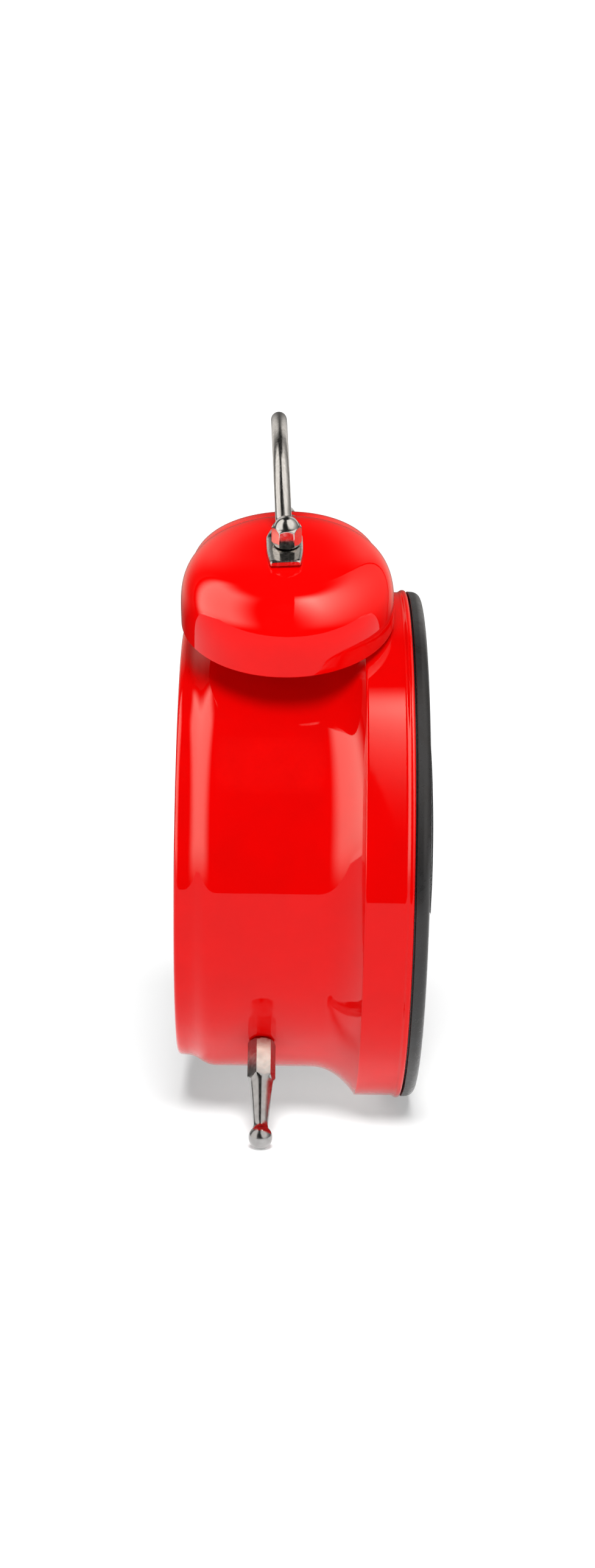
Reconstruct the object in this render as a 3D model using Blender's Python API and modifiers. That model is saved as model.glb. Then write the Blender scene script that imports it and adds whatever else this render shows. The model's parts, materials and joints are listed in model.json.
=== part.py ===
"""Twin-bell alarm clock, modelled as the separate pieces it is assembled from.

World frame: metres, +Z up, the dial faces -Y, +X is the viewer's right when facing the dial.
The origin lies on the table, under the middle of the clock. Sizes below are in millimetres, and
the mesh helpers turn them into metres. Everything on the case is laid out in the case frame,
whose origin is on the case's axis: x to the right, y up from the axis, z towards the front.
"""

import math

import bmesh
import bpy
from mathutils import Matrix, Vector

MM = 0.001

# Case, from the table up
AXIS_HEIGHT = 57.4          # case axis over the table: the front rim's lip touches the table
CASE_WALL = 1.0
BARREL_RADIUS = 50.7
FRONT_RIM_RADIUS = 56.9
RIM_LIP_RADIUS = 57.4
REAR_RIM_RADIUS = 48.3
REAR_PLANE = -28.2          # back edge of the case
RIM_FRONT = 21.4            # front edge of the red case, where the bezel starts
FRONT_TIP = 28.2            # crown of the domed lens
CASE_STEPS = 40

# Bells, their posts and the carrying handle
BELL_RADIUS = 22.8
BELL_HEIGHT = 17.0
BELL_WALL = 1.0
BELL_SHAPE = 3.9            # superellipse exponent: flat crown, steep wall
BELL_TILT = math.radians(28.2)
BELL_LEAN = math.radians(1.8)   # the pair leans back a little
BELL_OFFSET = 23.0          # bell mouth's centre, sideways from the case axis
BELL_LEVEL = 52.5           # bell mouth's centre, above the case axis
BELL_PLANE = -5.1
POST_RADIUS = 1.5
HANDLE_TOP = 95.5           # highest point of the handle above the case axis
HANDLE_LEAN = math.radians(1.5)     # on top of the bells' lean
HANDLE_SHIFT = 0.45         # the eyes sit this far back on their posts
WIRE_RADIUS = 1.75
EYE_HALF_WIDTH = 3.85
EYE_HALF_THICKNESS = 0.65
EYE_REACH = 7.1             # post's axis to the eye's cut end
EYE_NARROWING = 0.7         # half width lost between the bore and the cut end
NUT_FLATS = 5.5
NUT_HEX_HEIGHT = 4.25
NUT_CHAMFER = 0.45
NUT_DOME_RADIUS = 2.7
NUT_DOME_CENTRE = 3.5       # above the nut's seat, so the dome starts inside the hexagon
NUT_TURN = math.radians(30)     # a flat faces outwards
INNER_NUT_RADIUS = 3.1      # corner of the hexagon nuts inside the case
INNER_NUT_BORE = 1.85

# Legs
LEG_PLANE = -9.4
LEG_REACH = 73.2            # case axis to the centre of the ball foot
LEG_BALL_RADIUS = 2.53
LEG_HEX_END = 60.3
LEG_HEX_FLATS = 5.25
LEG_HEX_TURN = math.radians(20.6)
LEG_ANGLE = math.acos((AXIS_HEIGHT - LEG_BALL_RADIUS) / LEG_REACH)

# Layers from the lens to the back, as front and back faces along the case axis
LENS_EDGE = (21.1, 20.0)
DIAL = (15.0, 14.4)
CHASSIS = (14.1, 12.6)
COVER_FLOOR = (-20.0, -21.4)
BATTERY_UP = -22.0
BATTERY_DEPTH = -12.3
BATTERY_RADIUS = 7.25
BATTERY_LENGTH = 50.0
SCREW_SPOTS = ((30.0, 28.0), (-30.0, 28.0), (0.0, -38.0))
BUTTON_SPOT = (29.0, 8.0)
BUTTON_RADIUS = 3.9
HINGE_UP = -30.9            # battery lid's lower edge, which it swings about
HINGE_DEPTH = -22.4

# Hands, their tubes and the wheels in the movement
SETTING_DISTANCE = 14.0     # case axis to either setting arbor
TIME_KNOB_ANGLE = math.radians(149)
ALARM_KNOB_ANGLE = math.radians(31)
MOVEMENT_HALF = 26.0
SECOND_ARBOR_RADIUS = 0.5
# Teeth of each meshing pair, and the distance between its two arbors
SETTING_TEETH = (28, 12)        # wheel on the hand's tube, pinion on the setting arbor
TRANSMISSION_DISTANCE = 12.0
CANNON_TEETH = (8, 24)          # cannon pinion, transmission wheel
HOUR_TEETH = (7, 28)            # transmission pinion, hour wheel: 12 to 1 in all
THIRD_DISTANCE = 10.2
THIRD_TEETH = (6, 45)           # second wheel's pinion, third wheel
CENTER_TEETH = (6, 48)          # third wheel's pinion, centre wheel: 60 to 1 in all
STEP_DISTANCE = 8.4
SECOND_TEETH = (6, 36)          # step wheel's pinion, second wheel
ROTOR_DISTANCE = 7.2
STEP_TEETH = (6, 30)            # rotor's pinion, step wheel: 30 to 1 in all
CANNON_RADII = (0.8, 1.4)
HOUR_TUBE_RADII = (1.7, 2.3)
ALARM_TUBE_RADII = (2.6, 3.2)
DIAL_HOLE_RADIUS = 3.6

# Striker
HAMMER_PIVOT_UP = 36.0
HAMMER_HEAD_UP = 70.0
HAMMER_HEAD_RADIUS = 4.0
HAMMER_WIRE_RADIUS = 0.9

RED = ("red_paint", (0.80, 0.01, 0.01), 0.12, 0.0)
BLACK = ("black_plastic", (0.02, 0.02, 0.02), 0.45, 0.0)
CHROME = ("chrome", (0.78, 0.77, 0.75), 0.12, 1.0)
CLEAR = ("clear_plastic", (0.92, 0.95, 0.96), 0.03, 0.0)
IVORY = ("dial_white", (0.90, 0.89, 0.85), 0.5, 0.0)
WHITE = ("white_plastic", (0.82, 0.82, 0.80), 0.4, 0.0)
HAND_BLACK = ("hand_black", (0.015, 0.015, 0.015), 0.35, 0.0)
HAND_RED = ("hand_red", (0.75, 0.03, 0.02), 0.35, 0.0)
BRASS = ("brass", (0.78, 0.57, 0.25), 0.3, 1.0)
STEEL = ("steel", (0.55, 0.55, 0.56), 0.35, 1.0)
COPPER = ("copper_wire", (0.72, 0.33, 0.16), 0.35, 1.0)
BOARD = ("board_green", (0.03, 0.24, 0.10), 0.5, 0.0)
CELL = ("battery_wrap", (0.10, 0.16, 0.34), 0.3, 0.0)


# ---------------------------------------------------------------- scene helpers

def clear_scene():
    for old in list(bpy.data.objects):
        bpy.data.objects.remove(old, do_unlink=True)


def collection(name):
    made = bpy.data.collections.new(name)
    bpy.context.scene.collection.children.link(made)
    return made


def material(look):
    name, color, roughness, metallic = look
    made = bpy.data.materials.get(name)
    if made is None:
        made = bpy.data.materials.new(name)
        made.use_nodes = True
        shader = made.node_tree.nodes["Principled BSDF"]
        shader.inputs["Base Color"].default_value = (*color, 1.0)
        shader.inputs["Roughness"].default_value = roughness
        shader.inputs["Metallic"].default_value = metallic
        made.diffuse_color = (*color, 1.0)
    return made


def frame_empty(name, matrix, parent=None):
    """An empty that carries a group of pieces; matrix is in millimetres, in the parent's frame."""
    empty = bpy.data.objects.new(name, None)
    CLOCK.objects.link(empty)
    empty.parent = parent
    place = matrix.copy()
    place.translation = matrix.translation * MM
    empty.matrix_local = place
    return empty


def add(name, mesh, look, parent, spot=(0, 0, 0), cutter=False):
    """Link a mesh as a named object; spot is in millimetres in the parent's frame."""
    piece = bpy.data.objects.new(name, mesh)
    (CUTTERS if cutter else CLOCK).objects.link(piece)
    piece.parent = parent
    piece.location = Vector(spot) * MM
    if cutter:
        piece.hide_render = True
        piece.display_type = "WIRE"
    else:
        mesh.materials.append(material(look))
    return piece


def combine(piece, tool, operation):
    boolean = piece.modifiers.new(operation.lower() + "_" + tool.name, "BOOLEAN")
    boolean.operation = operation
    boolean.solver = "EXACT"
    boolean.object = tool


def cut(piece, mesh, spot=(0, 0, 0), parent=None):
    tool = add(piece.name + "_cut", mesh, None, parent or piece.parent, spot, cutter=True)
    combine(piece, tool, "DIFFERENCE")
    return tool


def fuse(piece, mesh, spot=(0, 0, 0), parent=None):
    tool = add(piece.name + "_join", mesh, None, parent or piece.parent, spot, cutter=True)
    combine(piece, tool, "UNION")
    return tool


def soften(piece, width, segments=1, angle=40):
    bevel = piece.modifiers.new("soft_edges", "BEVEL")
    bevel.width = width * MM
    bevel.segments = segments
    bevel.limit_method = "ANGLE"
    bevel.angle_limit = math.radians(angle)


# ---------------------------------------------------------------- mesh helpers

def finish(shape, name, smooth=True):
    mesh = bpy.data.meshes.new(name)
    bmesh.ops.recalc_face_normals(shape, faces=shape.faces)
    shape.to_mesh(mesh)
    shape.free()
    if smooth:
        mesh.shade_smooth()
        mesh.set_sharp_from_angle(angle=math.radians(35))
    return mesh


def cylinder(radius, low, high, segments=24, across=None):
    """Solid round bar along z, or along 'X' or 'Y' where across says so."""
    shape = bmesh.new()
    bmesh.ops.create_cone(
        shape, cap_ends=True, segments=segments, radius1=radius * MM, radius2=radius * MM,
        depth=(high - low) * MM)
    bmesh.ops.translate(shape, vec=(0, 0, (high + low) / 2 * MM), verts=shape.verts)
    if across == "X":
        bmesh.ops.rotate(shape, matrix=Matrix.Rotation(math.pi / 2, 3, "Y"), verts=shape.verts)
    if across == "Y":
        bmesh.ops.rotate(shape, matrix=Matrix.Rotation(-math.pi / 2, 3, "X"), verts=shape.verts)
    return finish(shape, "bar")


def box(low, high):
    shape = bmesh.new()
    bmesh.ops.create_cube(shape, size=1.0)
    size = [(b - a) * MM for a, b in zip(low, high)]
    middle = [(b + a) / 2 * MM for a, b in zip(low, high)]
    bmesh.ops.scale(shape, vec=size, verts=shape.verts)
    bmesh.ops.translate(shape, vec=middle, verts=shape.verts)
    return finish(shape, "block", smooth=False)


def ball(radius, rings=8, segments=14):
    shape = bmesh.new()
    bmesh.ops.create_uvsphere(shape, u_segments=segments, v_segments=rings, radius=radius * MM)
    return finish(shape, "ball")


def turned(name, profile, look, parent, spot=(0, 0, 0), steps=CASE_STEPS, ring=False):
    """Turn a (radius, height) profile about z; it runs top to bottom down its outer side."""
    mesh = bpy.data.meshes.new(name)
    points = [(radius * MM, 0, height * MM) for radius, height in profile]
    edges = [(i, i + 1) for i in range(len(points) - 1)]
    if ring:
        edges.append((len(points) - 1, 0))
    mesh.from_pydata(points, edges, [])
    piece = add(name, mesh, look, parent, spot)
    screw = piece.modifiers.new("turn", "SCREW")
    screw.steps = steps
    screw.render_steps = steps
    screw.use_merge_vertices = True
    screw.merge_threshold = 0.00001
    screw.use_normal_calculate = False
    screw.use_smooth_shade = True
    return piece


def circle(radius, count=16, middle=(0, 0)):
    turns = [2 * math.pi * i / count for i in range(count)]
    return [(middle[0] + radius * math.cos(t), middle[1] + radius * math.sin(t)) for t in turns]


def plate(outline, low, high, holes=()):
    """A flat outline between two heights, with holes, as one welded mesh."""
    curve = bpy.data.curves.new("outline", "CURVE")
    curve.dimensions = "2D"
    curve.fill_mode = "BOTH"
    curve.extrude = (high - low) / 2 * MM
    for loop in (outline, *holes):
        spline = curve.splines.new("POLY")
        spline.points.add(len(loop) - 1)
        for point, (x, y) in zip(spline.points, loop):
            point.co = (x * MM, y * MM, 0, 1)
        spline.use_cyclic_u = True
    guide = bpy.data.objects.new("outline", curve)
    CUTTERS.objects.link(guide)
    drawn = guide.evaluated_get(bpy.context.evaluated_depsgraph_get())
    filled = bpy.data.meshes.new_from_object(drawn)
    bpy.data.objects.remove(guide, do_unlink=True)
    shape = bmesh.new()
    shape.from_mesh(filled)
    bmesh.ops.remove_doubles(shape, verts=shape.verts, dist=0.000002)
    if not holes:
        bmesh.ops.dissolve_limit(shape, angle_limit=0.01, verts=shape.verts, edges=shape.edges)
    bmesh.ops.translate(shape, vec=(0, 0, (high + low) / 2 * MM), verts=shape.verts)
    return finish(shape, "plate", smooth=False)


def loft(rings):
    """Skin a row of equal rings of points, in millimetres, and close both ends."""
    shape = bmesh.new()
    rows = [[shape.verts.new(Vector(point) * MM) for point in ring] for ring in rings]
    count = len(rows[0])
    for near, far in zip(rows, rows[1:]):
        for i in range(count):
            j = (i + 1) % count
            shape.faces.new((near[i], near[j], far[j], far[i]))
    shape.faces.new(rows[0])
    shape.faces.new(rows[-1])
    return finish(shape, "loft")


def hexagon_radius(turn, flats):
    """Distance from the centre to a hexagon's edge, with a corner at turn 0."""
    return flats / 2 / math.cos(turn % (math.pi / 3) - math.pi / 6)


def blend(a, b, share):
    smooth = share * share * (3 - 2 * share)
    return a + (b - a) * smooth


# ---------------------------------------------------------------- gear helpers

def gear_outline(teeth, module, phase=0.0):
    """Pointed teeth that leave backlash: phase is the direction of one tooth's tip."""
    pitch_radius = teeth * module / 2
    tip = pitch_radius + 0.9 * module
    root = pitch_radius - 1.6 * module
    step = math.pi / teeth
    spokes = [(tip if i % 2 == 0 else root, phase + i * step) for i in range(2 * teeth)]
    return [(r * math.cos(t), r * math.sin(t)) for r, t in spokes]


def meshing_phase(teeth, towards, partner_teeth, partner_phase):
    """Tooth direction that puts a gap of this gear over its partner's tooth, or the reverse.

    towards is the direction from the partner's centre to this gear's centre.
    """
    partner_turn = (towards - partner_phase) * partner_teeth / (2 * math.pi)
    back = towards + math.pi
    return back + (partner_turn + 0.5) * 2 * math.pi / teeth


def polar(radius, angle):
    return (radius * math.cos(angle), radius * math.sin(angle))


# ---------------------------------------------------------------- case and front

def make_case():
    """Spun steel case: front rim, concave flare, barrel, S-shaped step and rear rim."""
    barrel = BARREL_RADIUS
    profile = [
        (FRONT_RIM_RADIUS + 0.1, RIM_FRONT), (RIM_LIP_RADIUS, 21.1), (RIM_LIP_RADIUS, 20.4),
        (FRONT_RIM_RADIUS, 19.9), (FRONT_RIM_RADIUS, 11.2), (56.4, 10.6),
        (54.5, 9.2), (52.9, 7.8), (51.4, 5.4), (barrel, 1.5),
        (barrel, -21.8), (50.2, -23.2), (48.8, -24.9), (REAR_RIM_RADIUS, -26.4),
        (46.8, REAR_PLANE), (44.2, REAR_PLANE)]
    case = turned("case_shell", profile, RED, CASE)
    wall = case.modifiers.new("sheet", "SOLIDIFY")
    wall.thickness = CASE_WALL * MM
    wall.offset = -1
    for side, seat in SEATS.items():
        cut(case, cylinder(POST_RADIUS + 0.4, -11, -4, 16), parent=seat)
        cut(case, cylinder(POST_RADIUS + 0.4, 46, 54, 16), parent=LEGS[side])
    slot = box((-3.6, 47, BELL_PLANE - 1.7), (3.6, 53, BELL_PLANE + 1.7))
    cut(case, slot)


def lens_profile():
    """Domed lens with a turned-out edge, outside then inside."""
    half, rise, thickness = 51.6, 4.4, 1.2
    sphere = (half * half + rise * rise) / (2 * rise)
    top = FRONT_TIP - sphere
    sweep = math.asin(half / sphere)
    inner_sweep = math.asin((half - thickness) / (sphere - thickness))
    steps = 4
    outside = [(sphere * math.sin(sweep * i / steps), top + sphere * math.cos(sweep * i / steps))
               for i in range(steps + 1)]
    inner = sphere - thickness
    inside = [(inner * math.sin(inner_sweep * i / steps),
               top + inner * math.cos(inner_sweep * i / steps)) for i in range(steps, -1, -1)]
    edge = [(half, LENS_EDGE[0]), (54.2, LENS_EDGE[0]), (54.2, LENS_EDGE[1]),
            (half - thickness, LENS_EDGE[1])]
    return outside + edge + inside


def make_front():
    bezel = [
        (54.6, 24.75), (56.1, 24.4), (56.9, 23.4), (57.1, 21.75), (55.6, 21.75), (55.6, 17.0),
        (54.6, 17.0), (54.6, 21.5), (52.0, 21.5), (52.0, 23.0)]
    turned("front_bezel", bezel, BLACK, CASE, ring=True)
    turned("lens", lens_profile(), CLEAR, CASE)
    chapter = [(54.2, 19.6), (54.3, 19.2), (54.3, 15.3), (47.4, 15.3), (47.4, 15.8), (53.8, 19.6)]
    turned("dial_ring", chapter, WHITE, CASE, ring=True)
    dial = plate(circle(54.2, CASE_STEPS), DIAL[1], DIAL[0], [circle(DIAL_HOLE_RADIUS, 20)])
    add("dial_plate", dial, IVORY, CASE)
    lamp = loft([[(r * math.cos(t), h, 17.3 + r * math.sin(t))
                  for t in [2 * math.pi * i / 12 for i in range(12)]]
                 for r, h in ((1.0, 45.0), (1.25, 44.7), (1.25, 42.6), (0.7, 41.9))])
    add("dial_lamp", lamp, CLEAR, CASE)


def make_chassis():
    """Moulded ring behind the dial, with three long posts that take the rear screws."""
    half = MOVEMENT_HALF + 0.6
    window = [(-half, -half), (half, -half), (half, half), (-half, half)]
    disc = plate(circle(54.3, CASE_STEPS), CHASSIS[1], CHASSIS[0], [window])
    chassis = add("chassis", disc, WHITE, CASE)
    for x, y in SCREW_SPOTS:
        fuse(chassis, cylinder(3.2, -19.7, 13.2, 12), (x, y, 0))
    for x, y in SCREW_SPOTS:
        cut(chassis, cylinder(1.7, -25, -10, 10), (x, y, 0))


# ---------------------------------------------------------------- back

def make_rear_cover():
    """Recessed plastic back with a battery box, two knob holes, a switch slot and a button hole."""
    front, back = COVER_FLOOR
    dish = [(0, front), (46.3, front), (46.3, -26.5), (45.1, -26.5), (45.1, back), (0, back)]
    cover = turned("rear_cover", dish, BLACK, CASE)
    fuse(cover, box((-28.7, -30.9, -20.6), (28.7, -13.1, -3.6)))
    cut(cover, box((-27.5, -29.7, -30.0), (27.5, -14.3, -4.8)))
    for angle in (TIME_KNOB_ANGLE, ALARM_KNOB_ANGLE):
        x, y = polar(SETTING_DISTANCE, angle)
        cut(cover, cylinder(1.6, -25, -15, 12), (x, y, 0))
    cut(cover, box((-6.0, 25.0, -25), (6.0, 29.0, -15)))
    cut(cover, cylinder(BUTTON_RADIUS + 0.4, -25, -15, 20), (*BUTTON_SPOT, 0))
    for x, y in SCREW_SPOTS:
        cut(cover, cylinder(1.7, -25, -15, 12), (x, y, 0))


def make_battery():
    lying = Matrix.Translation((-BATTERY_LENGTH / 2, BATTERY_UP, BATTERY_DEPTH))
    lying = lying @ Matrix.Rotation(math.pi / 2, 4, "Y")
    bed = frame_empty("battery_axis", lying, CASE)
    length = BATTERY_LENGTH
    can = [(0, length), (2.6, length), (2.6, length - 1.4), (BATTERY_RADIUS - 0.5, length - 1.4),
           (BATTERY_RADIUS, length - 2.2), (BATTERY_RADIUS, 0.9), (BATTERY_RADIUS - 0.6, 0.3),
           (0, 0.3)]
    turned("battery", can, CELL, bed, steps=24)
    tab = box((25.5, BATTERY_UP - 4, BATTERY_DEPTH - 4), (26.1, BATTERY_UP + 4, BATTERY_DEPTH + 4))
    add("battery_contact_plus", tab, STEEL, CASE)
    coil = bpy.data.curves.new("battery_contact_spring", "CURVE")
    coil.dimensions = "3D"
    coil.bevel_depth = 0.35 * MM
    coil.bevel_resolution = 1
    coil.use_fill_caps = True
    turns, points = 2, 26
    spline = coil.splines.new("POLY")
    spline.points.add(points - 1)
    for i, point in enumerate(spline.points):
        share = i / (points - 1)
        x, y = polar(5.2 - 2.6 * share, 2 * math.pi * turns * share)
        point.co = (x * MM, y * MM, (-1.9 + 1.6 * share) * MM, 1)
    add_curve("battery_contact_spring", coil, STEEL, bed)


def add_curve(name, curve, look, parent):
    """Link a wire: its tube is made a mesh and its loose caps are welded."""
    guide = bpy.data.objects.new(name + "_wire", curve)
    CUTTERS.objects.link(guide)
    drawn = guide.evaluated_get(bpy.context.evaluated_depsgraph_get())
    mesh = bpy.data.meshes.new_from_object(drawn)
    bpy.data.objects.remove(guide, do_unlink=True)
    shape = bmesh.new()
    shape.from_mesh(mesh)
    bmesh.ops.remove_doubles(shape, verts=shape.verts, dist=0.000002)
    return add(name, finish(shape, name), look, parent)


def make_battery_door():
    """Snap-on lid that swings out about its lower edge."""
    hinge = frame_empty("battery_door_hinge", Matrix.Translation((0, HINGE_UP, HINGE_DEPTH)), CASE)
    lid = add("battery_door", box((-29.5, -0.6, -0.6), (29.5, 18.6, 0.6)), BLACK, hinge)
    fuse(lid, box((-6.0, 16.2, -1.1), (6.0, 17.4, 0.2)))


def make_rear_screws():
    for number, (x, y) in enumerate(SCREW_SPOTS, start=1):
        shape = [(0, -12.5), (1.3, -12.5), (1.3, -21.7), (2.9, -21.7), (2.7, -22.9), (1.8, -23.3),
                 (0, -23.3)]
        screw = turned("rear_screw_" + str(number), shape, STEEL, CASE, (x, y, 0), steps=14)
        for span in ((2.0, 0.35), (0.35, 2.0)):
            cut(screw, box((-span[0], -span[1], -24), (span[0], span[1], -22.6)), (x, y, 0))


def make_controls():
    """Alarm on/off slider, light button, and the two setting knobs on their arbors."""
    slider = add("alarm_switch", box((-13.5, 23.6, -19.6), (6.5, 30.4, -18.4)), BLACK, CASE)
    fuse(slider, box((-5.5, 25.4, -24.6), (-1.5, 28.6, -19.0)))
    button = [(0, -18.0), (5.6, -18.0), (5.6, -19.4), (BUTTON_RADIUS, -19.4),
              (BUTTON_RADIUS, -24.0), (BUTTON_RADIUS - 0.7, -24.6), (0, -24.8)]
    turned("light_button", button, BLACK, CASE, (*BUTTON_SPOT, 0), steps=20)
    for name, angle in (("time_set", TIME_KNOB_ANGLE), ("alarm_set", ALARM_KNOB_ANGLE)):
        x, y = polar(SETTING_DISTANCE, angle)
        ribs = 22
        outline = [polar(7.6 if i % 2 == 0 else 7.1, math.pi * i / ribs) for i in range(2 * ribs)]
        knob = add(name + "_knob", plate(outline, -27.4, -22.0), BLACK, CASE, (x, y, 0))
        cut(knob, cylinder(1.3, -25.5, -20.0, 12), (x, y, 0))


# ---------------------------------------------------------------- bells, handle, legs

def bell_curve(radius, height, steps):
    """Superellipse quarter from the crown to the mouth."""
    turns = [math.pi / 2 * (1 - i / steps) for i in range(steps + 1)]
    return [(radius * math.cos(t) ** (2 / BELL_SHAPE), height * math.sin(t) ** (2 / BELL_SHAPE))
            for t in turns]


def make_bells():
    bore = POST_RADIUS + 0.4
    outside = [(bore, BELL_HEIGHT)] + bell_curve(BELL_RADIUS, BELL_HEIGHT, 7)[1:]
    inside = bell_curve(BELL_RADIUS - BELL_WALL, BELL_HEIGHT - BELL_WALL, 6)[:0:-1]
    inside.append((bore, BELL_HEIGHT - BELL_WALL))
    for side, seat in SEATS.items():
        turned("bell_" + side, outside + inside, RED, seat, steps=30, ring=True)


def foot_of_post():
    """How far below the bell's mouth its axis meets the barrel."""
    along = BELL_OFFSET * math.sin(BELL_TILT) + BELL_LEVEL * math.cos(BELL_TILT)
    far = BELL_OFFSET ** 2 + BELL_LEVEL ** 2 - BARREL_RADIUS ** 2
    return along - math.sqrt(along ** 2 - far)


def nut_ring(radius_of, height, count=12):
    turns = [2 * math.pi * i / count for i in range(count)]
    return [(*polar(radius_of(t), t + NUT_TURN), height) for t in turns]


def make_posts_and_nuts():
    foot = -foot_of_post()
    shoulder = 2.8
    nut_seat = BELL_HEIGHT + 2 * EYE_HALF_THICKNESS + 0.6
    tip = nut_seat + 4.0
    for side, seat in SEATS.items():
        post = [
            (0, tip), (POST_RADIUS, tip), (POST_RADIUS, BELL_HEIGHT - BELL_WALL - 0.4),
            (shoulder, BELL_HEIGHT - BELL_WALL - 0.4), (shoulder, foot + 0.6),
            (POST_RADIUS, foot + 0.6), (POST_RADIUS, foot - 4.8), (0, foot - 4.8)]
        turned("bell_post_" + side, post, STEEL, seat, steps=16)
        inner = plate(circle(INNER_NUT_RADIUS, 6), foot - 4.2, foot - 1.8, [circle(INNER_NUT_BORE, 16)])
        add("post_nut_" + side, inner, STEEL, seat)
        rings = [nut_ring(lambda t: hexagon_radius(t, NUT_FLATS) - 0.2, 0),
                 nut_ring(lambda t: hexagon_radius(t, NUT_FLATS), 0.3),
                 nut_ring(lambda t: hexagon_radius(t, NUT_FLATS), NUT_HEX_HEIGHT - NUT_CHAMFER)]
        start = math.asin((NUT_HEX_HEIGHT - NUT_DOME_CENTRE) / NUT_DOME_RADIUS)
        for dome in (start, math.radians(38), math.radians(58), math.radians(76)):
            radius = NUT_DOME_RADIUS * math.cos(dome)
            height = NUT_DOME_CENTRE + NUT_DOME_RADIUS * math.sin(dome)
            rings.append(nut_ring(lambda t, r=radius: r, height))
        nut = add("acorn_nut_" + side, loft(rings), CHROME, seat, (0, 0, nut_seat))
        cut(nut, cylinder(POST_RADIUS + 0.3, -2, tip - nut_seat + 0.4, 14), (0, 0, nut_seat))


def handle_path():
    """Centre line of the left half: eye, upward bend, then the arch, as (x, up, direction, s)."""
    lift = BELL_HEIGHT + 0.3 + EYE_HALF_THICKNESS
    eye = (-BELL_OFFSET - lift * math.sin(BELL_TILT), BELL_LEVEL + lift * math.cos(BELL_TILT))
    along = (math.cos(BELL_TILT), math.sin(BELL_TILT))
    path = [(eye[0] + s * along[0], eye[1] + s * along[1], BELL_TILT, s)
            for s in (-EYE_REACH, 0.4 - EYE_REACH, -3.5, 0.0, 3.2, 4.8, 6.4)]
    bend = 4.0
    start = path[-1]
    for i in range(1, 4):
        angle = BELL_TILT + (math.pi / 2 - BELL_TILT) * i / 3
        x = start[0] + bend * (math.sin(angle) - math.sin(BELL_TILT))
        up = start[1] + bend * (math.cos(BELL_TILT) - math.cos(angle))
        path.append((x, up, angle, start[3] + bend * (angle - BELL_TILT)))
    foot = path[-1]
    half, rise = -foot[0], HANDLE_TOP - WIRE_RADIUS - foot[1]
    for i in range(1, 8):
        turn = math.pi / 2 * i / 7
        angle = math.atan2(rise * math.cos(turn), half * math.sin(turn))
        path.append((-half * math.cos(turn), foot[1] + rise * math.sin(turn), angle, 12.0))
    return path


def handle_ring(x, up, angle, s, count=12):
    """One section: a flat eye near the ends, a round wire over the arch."""
    share = min(max((s - 3.0) / 5.0, 0.0), 1.0)
    width = EYE_HALF_WIDTH - EYE_NARROWING * (max(-s, 0.0) / EYE_REACH) ** 2
    width = blend(width, WIRE_RADIUS, share)
    thick = blend(EYE_HALF_THICKNESS, WIRE_RADIUS, share)
    power = blend(0.45, 1.0, share)
    cut_end = s < 0.2 - EYE_REACH
    if cut_end:
        width, thick = width - 0.25, thick - 0.25
    lift = 0.0 if cut_end else thick - EYE_HALF_THICKNESS
    ring = []
    for i in range(count):
        turn = 2 * math.pi * (i + 0.5) / count
        c, w = math.cos(turn), math.sin(turn)
        side = width * math.copysign(abs(c) ** power, c)
        over = thick * math.copysign(abs(w) ** power, w) + lift
        ring.append((x - over * math.sin(angle), up + over * math.cos(angle), side))
    return ring


def make_handle():
    left = [handle_ring(*spot) for spot in handle_path()]
    right = [[(-x, up, side) for x, up, side in ring] for ring in reversed(left[:-1])]
    lean = Matrix.Translation((0, BELL_LEVEL + BELL_HEIGHT, -HANDLE_SHIFT))
    lean = lean @ Matrix.Rotation(-HANDLE_LEAN, 4, "X")
    lean = lean @ Matrix.Translation((0, -BELL_LEVEL - BELL_HEIGHT, 0))
    hanger = frame_empty("handle_lean", lean, BELL_GROUP)
    handle = add("carry_handle", loft(left + right), CHROME, hanger)
    for seat in SEATS.values():
        cut(handle, cylinder(POST_RADIUS + 0.4, BELL_HEIGHT - 2, BELL_HEIGHT + 8, 14), parent=seat)


def leg_ring(radius_of, reach, count=12):
    turns = [2 * math.pi * i / count for i in range(count)]
    return [(*polar(radius_of(t), t + LEG_HEX_TURN), reach) for t in turns]


def make_legs():
    """Turned leg: threaded stud through the case, hexagon sleeve, taper and ball foot."""
    stud, start = 1.5, BARREL_RADIUS + 0.4
    rings = [
        leg_ring(lambda t: stud, 45.2), leg_ring(lambda t: stud, start),
        leg_ring(lambda t: hexagon_radius(t, LEG_HEX_FLATS), start),
        leg_ring(lambda t: hexagon_radius(t, LEG_HEX_FLATS), LEG_HEX_END - 0.5),
        leg_ring(lambda t: 2.65, LEG_HEX_END), leg_ring(lambda t: 2.1, 65.5),
        leg_ring(lambda t: 1.6, 70.6)]
    for lift in (-38, -12, 12, 35, 60):
        turn = math.radians(lift)
        radius, reach = LEG_BALL_RADIUS * math.cos(turn), LEG_REACH + LEG_BALL_RADIUS * math.sin(turn)
        rings.append(leg_ring(lambda t, r=radius: r, reach))
    rings.append(leg_ring(lambda t: 0.25, LEG_REACH + LEG_BALL_RADIUS))
    for side, axis in LEGS.items():
        add("leg_" + side, loft(rings), CHROME, axis)
        nut = plate(circle(INNER_NUT_RADIUS, 6), 46.3, 48.8, [circle(INNER_NUT_BORE, 16)])
        add("leg_nut_" + side, nut, STEEL, axis)


# ---------------------------------------------------------------- movement

def make_wheel(name, look, spot, layers, bore=None):
    """Coaxial layers, each (outline, low, high), joined into one turned wheel; spot is its axis."""
    outline, low, high = layers[0]
    wheel = add(name, plate(outline, low, high), look, CASE, (*spot, 0))
    for outline, low, high in layers[1:]:
        fuse(wheel, plate(outline, low, high), (*spot, 0))
    if bore:
        cut(wheel, cylinder(bore, -30, 40, 14), (*spot, 0))
    return wheel


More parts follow.
